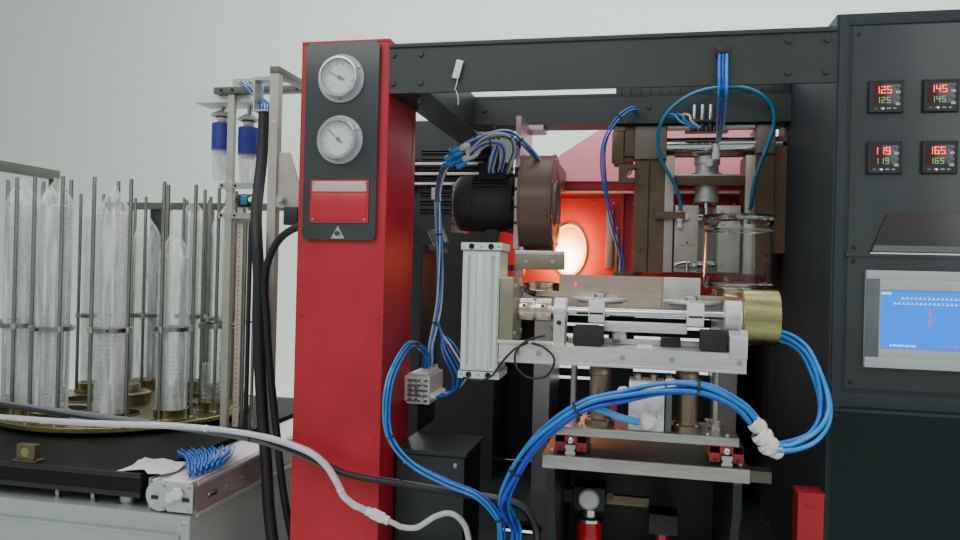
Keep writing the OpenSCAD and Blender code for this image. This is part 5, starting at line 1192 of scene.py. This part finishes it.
# black valve box and grey flexible lines beside the red column
k.box((-240, -140, 1536), (-208, -126, 1575), BLACK, 1.6)
k.box((-206, -140, 1544), (-190, -126, 1568), BLACK, 1.4)
k.lathe((-248, -133, 1590), (0, -1, 0), [(0, 12), (6, 12), (8, 8), (8, 0)], SILV, 18)
for z in (1120, 1240, 1360, 1480, 1640, 1760):
    k.lathe((-275, -128, z), (0, -1, 0), [(0, 1.2), (3, 1), (4, 0)], STEEL, 14)
k.done("picker_frame_details", "machine")

# ---------------------------------------------------------------- loose thin tubes and wires
line("loop_wire", [[352, -486, 1340], [372, -494, 1335], [388, -496, 1318], [378, -496, 1294], [352, -496, 1288], [332, -496, 1302], [328, -495, 1324], [342, -494, 1342], [360, -492, 1350], [372, -486, 1352]], 3.6, CABLE, "lift")
line("sensor_wire", [[346, -488, 1341], [326, -494, 1330], [306, -492, 1308], [290, -484, 1286], [268, -482, 1278], [244, -480, 1281]], 3.4, CABLE, "lift")
for j in range(3):
    o_ = 5.6 * (j - 1)
    line("drop_tube_%d" % j, [[631 + o_, -386, 1801.6], [631 + o_, -386, 1789], [631 + o_, -386.5, 1776], [631.5 + o_, -386, 1756], [633 + o_, -374, 1744], [640 + o_, -300, 1737], [649 + o_, -190, 1732], [657 + 0.7 * o_, -90, 1729], [660 + 0.5 * o_, -40, 1728], [660 + 0.3 * o_, -16, 1727 + j], [659 + 0.2 * o_, -6, 1724 + 0.4 * j]], 5.4, (BLUE, BLUED, BLUEL)[j], "machine")
for j in range(3):
    x = 570 + 14 * j
    line("cluster_tube_%d" % j, [[x - 20 + 6 * j, -20, 1772], [x - 8, -34, 1780], [x + 4, -40, 1776], [x + 14 - 3 * j, -42, 1764], [612 + 6 * j, -36, 1752]], 5.0, (BLUEL, BLUE, CLEART)[j], "machine")
for j in range(5):
    y = -236 + 18 * j
    line("valve_tube_%d" % j, [[134, y, 1205], [150, y - 4, 1206], [168 + 3 * j, y - 10, 1218 + 3 * j], [170 + 4 * j, y - 14, 1250], [150, y - 12, 1288 + 4 * j], [128, -185 + 4 * j, 1318], [116 + j, -178, 1345]], 4.2, (BLUED, BLUE, BLUED, WIRE, BLUE)[j], "machine")
strands("motor_wire_0", [[104, -142, 1588], [102, -142, 1602], [104, -142, 1618], [115, -142, 1656], [150, -142, 1692], [197, -142, 1718], [241, -140, 1728], [270, -134, 1712], [292, -120, 1690], [304, -100, 1672], [306, -92, 1664]], 13, [WIRE, CABLE, WIRE, BLUED, CABG], "machine", (), 5, 0.5, (0.35, 0.7), step=5)
strands("motor_wire_1", [[222, -92.5, 1655], [224, -102, 1658], [228, -112, 1666], [236, -134, 1690], [230, -152, 1704], [208, -156, 1704], [186, -154, 1694], [172, -151, 1682], [164, -149, 1674]], 11, [WIRE, WIRE, BLUED, WIRE], "machine", (), 4, 0.6, (0.6,), step=5)
strands("motor_wire_2", [[236, -92.5, 1655], [240, -102, 1658], [246, -112, 1668], [258, -134, 1694], [252, -148, 1716], [226, -153, 1722], [198, -152, 1712], [180, -150, 1698], [170, -149, 1688]], 11, [WIRE, CABG, WIRE, BLUE], "machine", (), 4, 0.7, (0.5,), step=5)
line("housing_wire", [[262, -116, 1700], [250, -122, 1716], [220, -126, 1722], [180, -130, 1714], [150, -133, 1706]], 4.0, WIRE, "machine")
line("block_hose_a", [[484, -490, 1264], [462, -506, 1268], [432, -514, 1258], [404, -512, 1232]], 11, BLUE, "carriage")
line("block_hose_b", [[514, -494, 1232], [486, -508, 1240], [460, -512, 1250], [436, -512, 1256]], 11, BLUEL, "carriage")
for j in range(6):
    u = (j + 0.5) / 6
    a = Vector((-410 + 90 * u, -250 + 84 * u, 1060)); b = Vector((-303 + 8 * u, -366 + 98 * u, 1053))
    c = a.lerp(b, 0.35) + Vector((5, 4, 5)); e = a.lerp(b, 0.7) + Vector((5, 2, 3))
    strands("fan_tube_%d" % j, [list(a), list(c), list(e), list(b)], 15.5, [BLUED, BLUE, BLUED, BLUEL, BLUE], "machine", (), 5, 0.15, (), rc=0.36, rs=0.155)
for j in range(4):
    x = -442 + 22 * j
    line("picker_tube_%d" % j, [[x, 33.4, 1888], [x, 24, 1888], [x + 2, 12, 1884], [0.6 * x - 138, -14, 1862], [0.3 * x - 236, -40, 1834], [-345 + 7 * j, -58, 1815], [-345 + 7 * j, -60, 1800.4]], 5.0, (BLUED, BLUE, BLUEL, BLUED)[j], "machine")
print("lines done")

# joint of the two big hoses, wrapped in white tape
k = Kit()
for (p, r) in (((690, -526, 1216), 13), ((682, -530, 1230), 14), ((700, -522, 1210), 11), ((675, -530, 1244), 11.5), ((692, -531, 1222), 10)):
    k.lathe((p[0] - 8, p[1], p[2] + 6), (1, 0.15, -0.75), [(r * 0.75, 0), (r, 4), (r * 0.92, 8), (r * 1.04, 12), (r * 0.86, 18), (r * 0.7, 20)], TAPE, 22, wob=lambda rr, h, t: rr * (1 + 0.07 * math.sin(4 * t + h)))
k.done("hose_joint_tape", "machine")

# ---------------------------------------------------------------- rear, sides
k = Kit()
for i in range(8):
    k.box((-60, 266, 1598 + 22 * i), (120, 275.2, 1601 + 22 * i), FRAME, 0.6)
for i in range(3):
    k.box((-80, 250, 1668 + 26 * i), (104, 262, 1674 + 26 * i), WHITE, 1.0)
k.box((-84, 248, 1655), (-72, 275, 1740), STEEL, 1)
k.box((128, 248, 1655), (140, 275, 1740), STEEL, 1)
for x in (-80, 138, 170, 470, 490, 785):
    for z in (930, 1300, 1640):
        k.lathe((x, 500, z), (0, 1, 0), [(0, 0.3), (3.6, 0.25), (4.4, 0)], STEEL, 16)
k.box((104, -30, 1530), (132, 20, 1640), PINKST, 2)
for z in (1548, 1566, 1584, 1602, 1620):
    k.box((103, -31.4, z), (133, -29, z + 3), BLACK, 0.4)
k.box((82, -120, 1500), (112, -98, 1534), SILV, 1.5, Matrix.Rotation(-0.42, 3, "Y"))
for q in range(5):
    k.box((84 + 5.4 * q, -122, 1502), (86.6 + 5.4 * q, -119, 1532), CABG, 0.3, Matrix.Rotation(-0.42, 3, "Y"))
k.box((76, -124, 1486), (116, -96, 1496), CABG, 1.2, Matrix.Rotation(0.2, 3, "Y"))
k.box((90, -148, 1592), (98, -140, 1616), WHITE, 1.2)
for x, z, c, q in ((165, 1676, WHITE, 0), (171, 1690, WHITE, 1), (178, 1683, WHITE, 2), (158, 1698, WHITE, 0), (186, 1694, WHITE, 1),
                   (128, 1678, BLUEL, 1), (134, 1667, BLUE, 2), (143, 1684, BLUEL, 0), (122, 1664, BLUE, 1), (148, 1673, BLUE, 2), (138, 1692, BLUEL, 0), (152, 1662, BLUEL, 1)):
    y = -150 + 3 * q
    k.lathe((x, y, z), (1, 0.1, 0.35 + 0.2 * q), [(0, -12), (4.6, -11), (6.4, -6), (6.4, 5), (4.4, 9), (3.4, 12), (0, 12)], c, 16)
k.box((76, -160, 1120), (80, -40, 1500), CAB, 1)
k.done("rear_details", "machine")

# ---------------------------------------------------------------- stage and light
me = bpy.data.meshes.new("floor")
S = 14.0
pts = [(-S, -9, -0.0015), (S, -9, -0.0015), (S, 7.0, -0.0015), (-S, 7.0, -0.0015)]
vs = list(pts); fs = [[0, 1, 2, 3]]
for q in range(1, 9):
    a = math.pi / 2 * q / 8
    vs += [(-S, 7.0 + 1.6 * math.sin(a), -0.0015 + 1.6 * (1 - math.cos(a))), (S, 7.0 + 1.6 * math.sin(a), -0.0015 + 1.6 * (1 - math.cos(a)))]
vs += [(-S, 8.6, 8.5), (S, 8.6, 8.5)]
prev = (3, 2)
for q in range(9):
    c = (4 + 2 * q, 5 + 2 * q)
    fs.append([prev[0], prev[1], c[1], c[0]]); prev = c
me.from_pydata(vs, [], fs)
fl = bpy.data.objects.new("floor", me)
bpy.context.scene.collection.objects.link(fl)
me.materials.append(M("floor_pale", (0.71, 0.765, 0.725), 0.75, var=0.015, bump=0.01))
for p in me.polygons:
    p.use_smooth = True


def area(name, loc, target, size, power, col=(1, 1, 1)):
    d = bpy.data.lights.new(name, "AREA")
    d.shape = "RECTANGLE"; d.size, d.size_y = size
    d.energy = power; d.color = col
    o = bpy.data.objects.new(name, d)
    bpy.context.scene.collection.objects.link(o)
    o.location = loc
    o.rotation_euler = (Vector(target) - Vector(loc)).to_track_quat("-Z", "Y").to_euler()
    return o


area("key", (-0.9, -2.6, 3.4), (0, 0, 1.3), (3.2, 2.0), 58, (1.0, 1.0, 0.97))
area("fill", (2.6, -2.4, 2.6), (0.4, 0, 1.2), (2.2, 2.2), 22, (0.97, 0.98, 1.0))
area("top", (0, 0.4, 3.6), (0, 0.2, 0), (4.0, 2.6), 46, (0.98, 0.99, 1.0))
area("back", (-1.8, 2.5, 2.9), (-0.5, 0.3, 1.3), (2.6, 1.6), 30, (1, 1, 1))
area("wall", (0.9, 3.7, 6.3), (0.6, 8.6, 1.4), (12.0, 2.4), 680, (0.93, 1.0, 0.955))
area("oven_glow", (0.335, 0.135, 1.50), (0.340, 0.21, 1.495), (0.10, 0.13), 0.54, (1.0, 0.34, 0.06))
pl = bpy.data.lights.new("oven_light", "POINT"); pl.energy = 0.42; pl.color = (1.0, 0.34, 0.10); pl.shadow_soft_size = 0.05
po = bpy.data.objects.new("oven_light", pl); bpy.context.scene.collection.objects.link(po); po.location = (0.350, 0.172, 1.49)
world = bpy.data.worlds.new("world"); bpy.context.scene.world = world
world.use_nodes = True
world.node_tree.nodes["Background"].inputs[0].default_value = (0.80, 0.83, 0.84, 1)
world.node_tree.nodes["Background"].inputs[1].default_value = 0.55
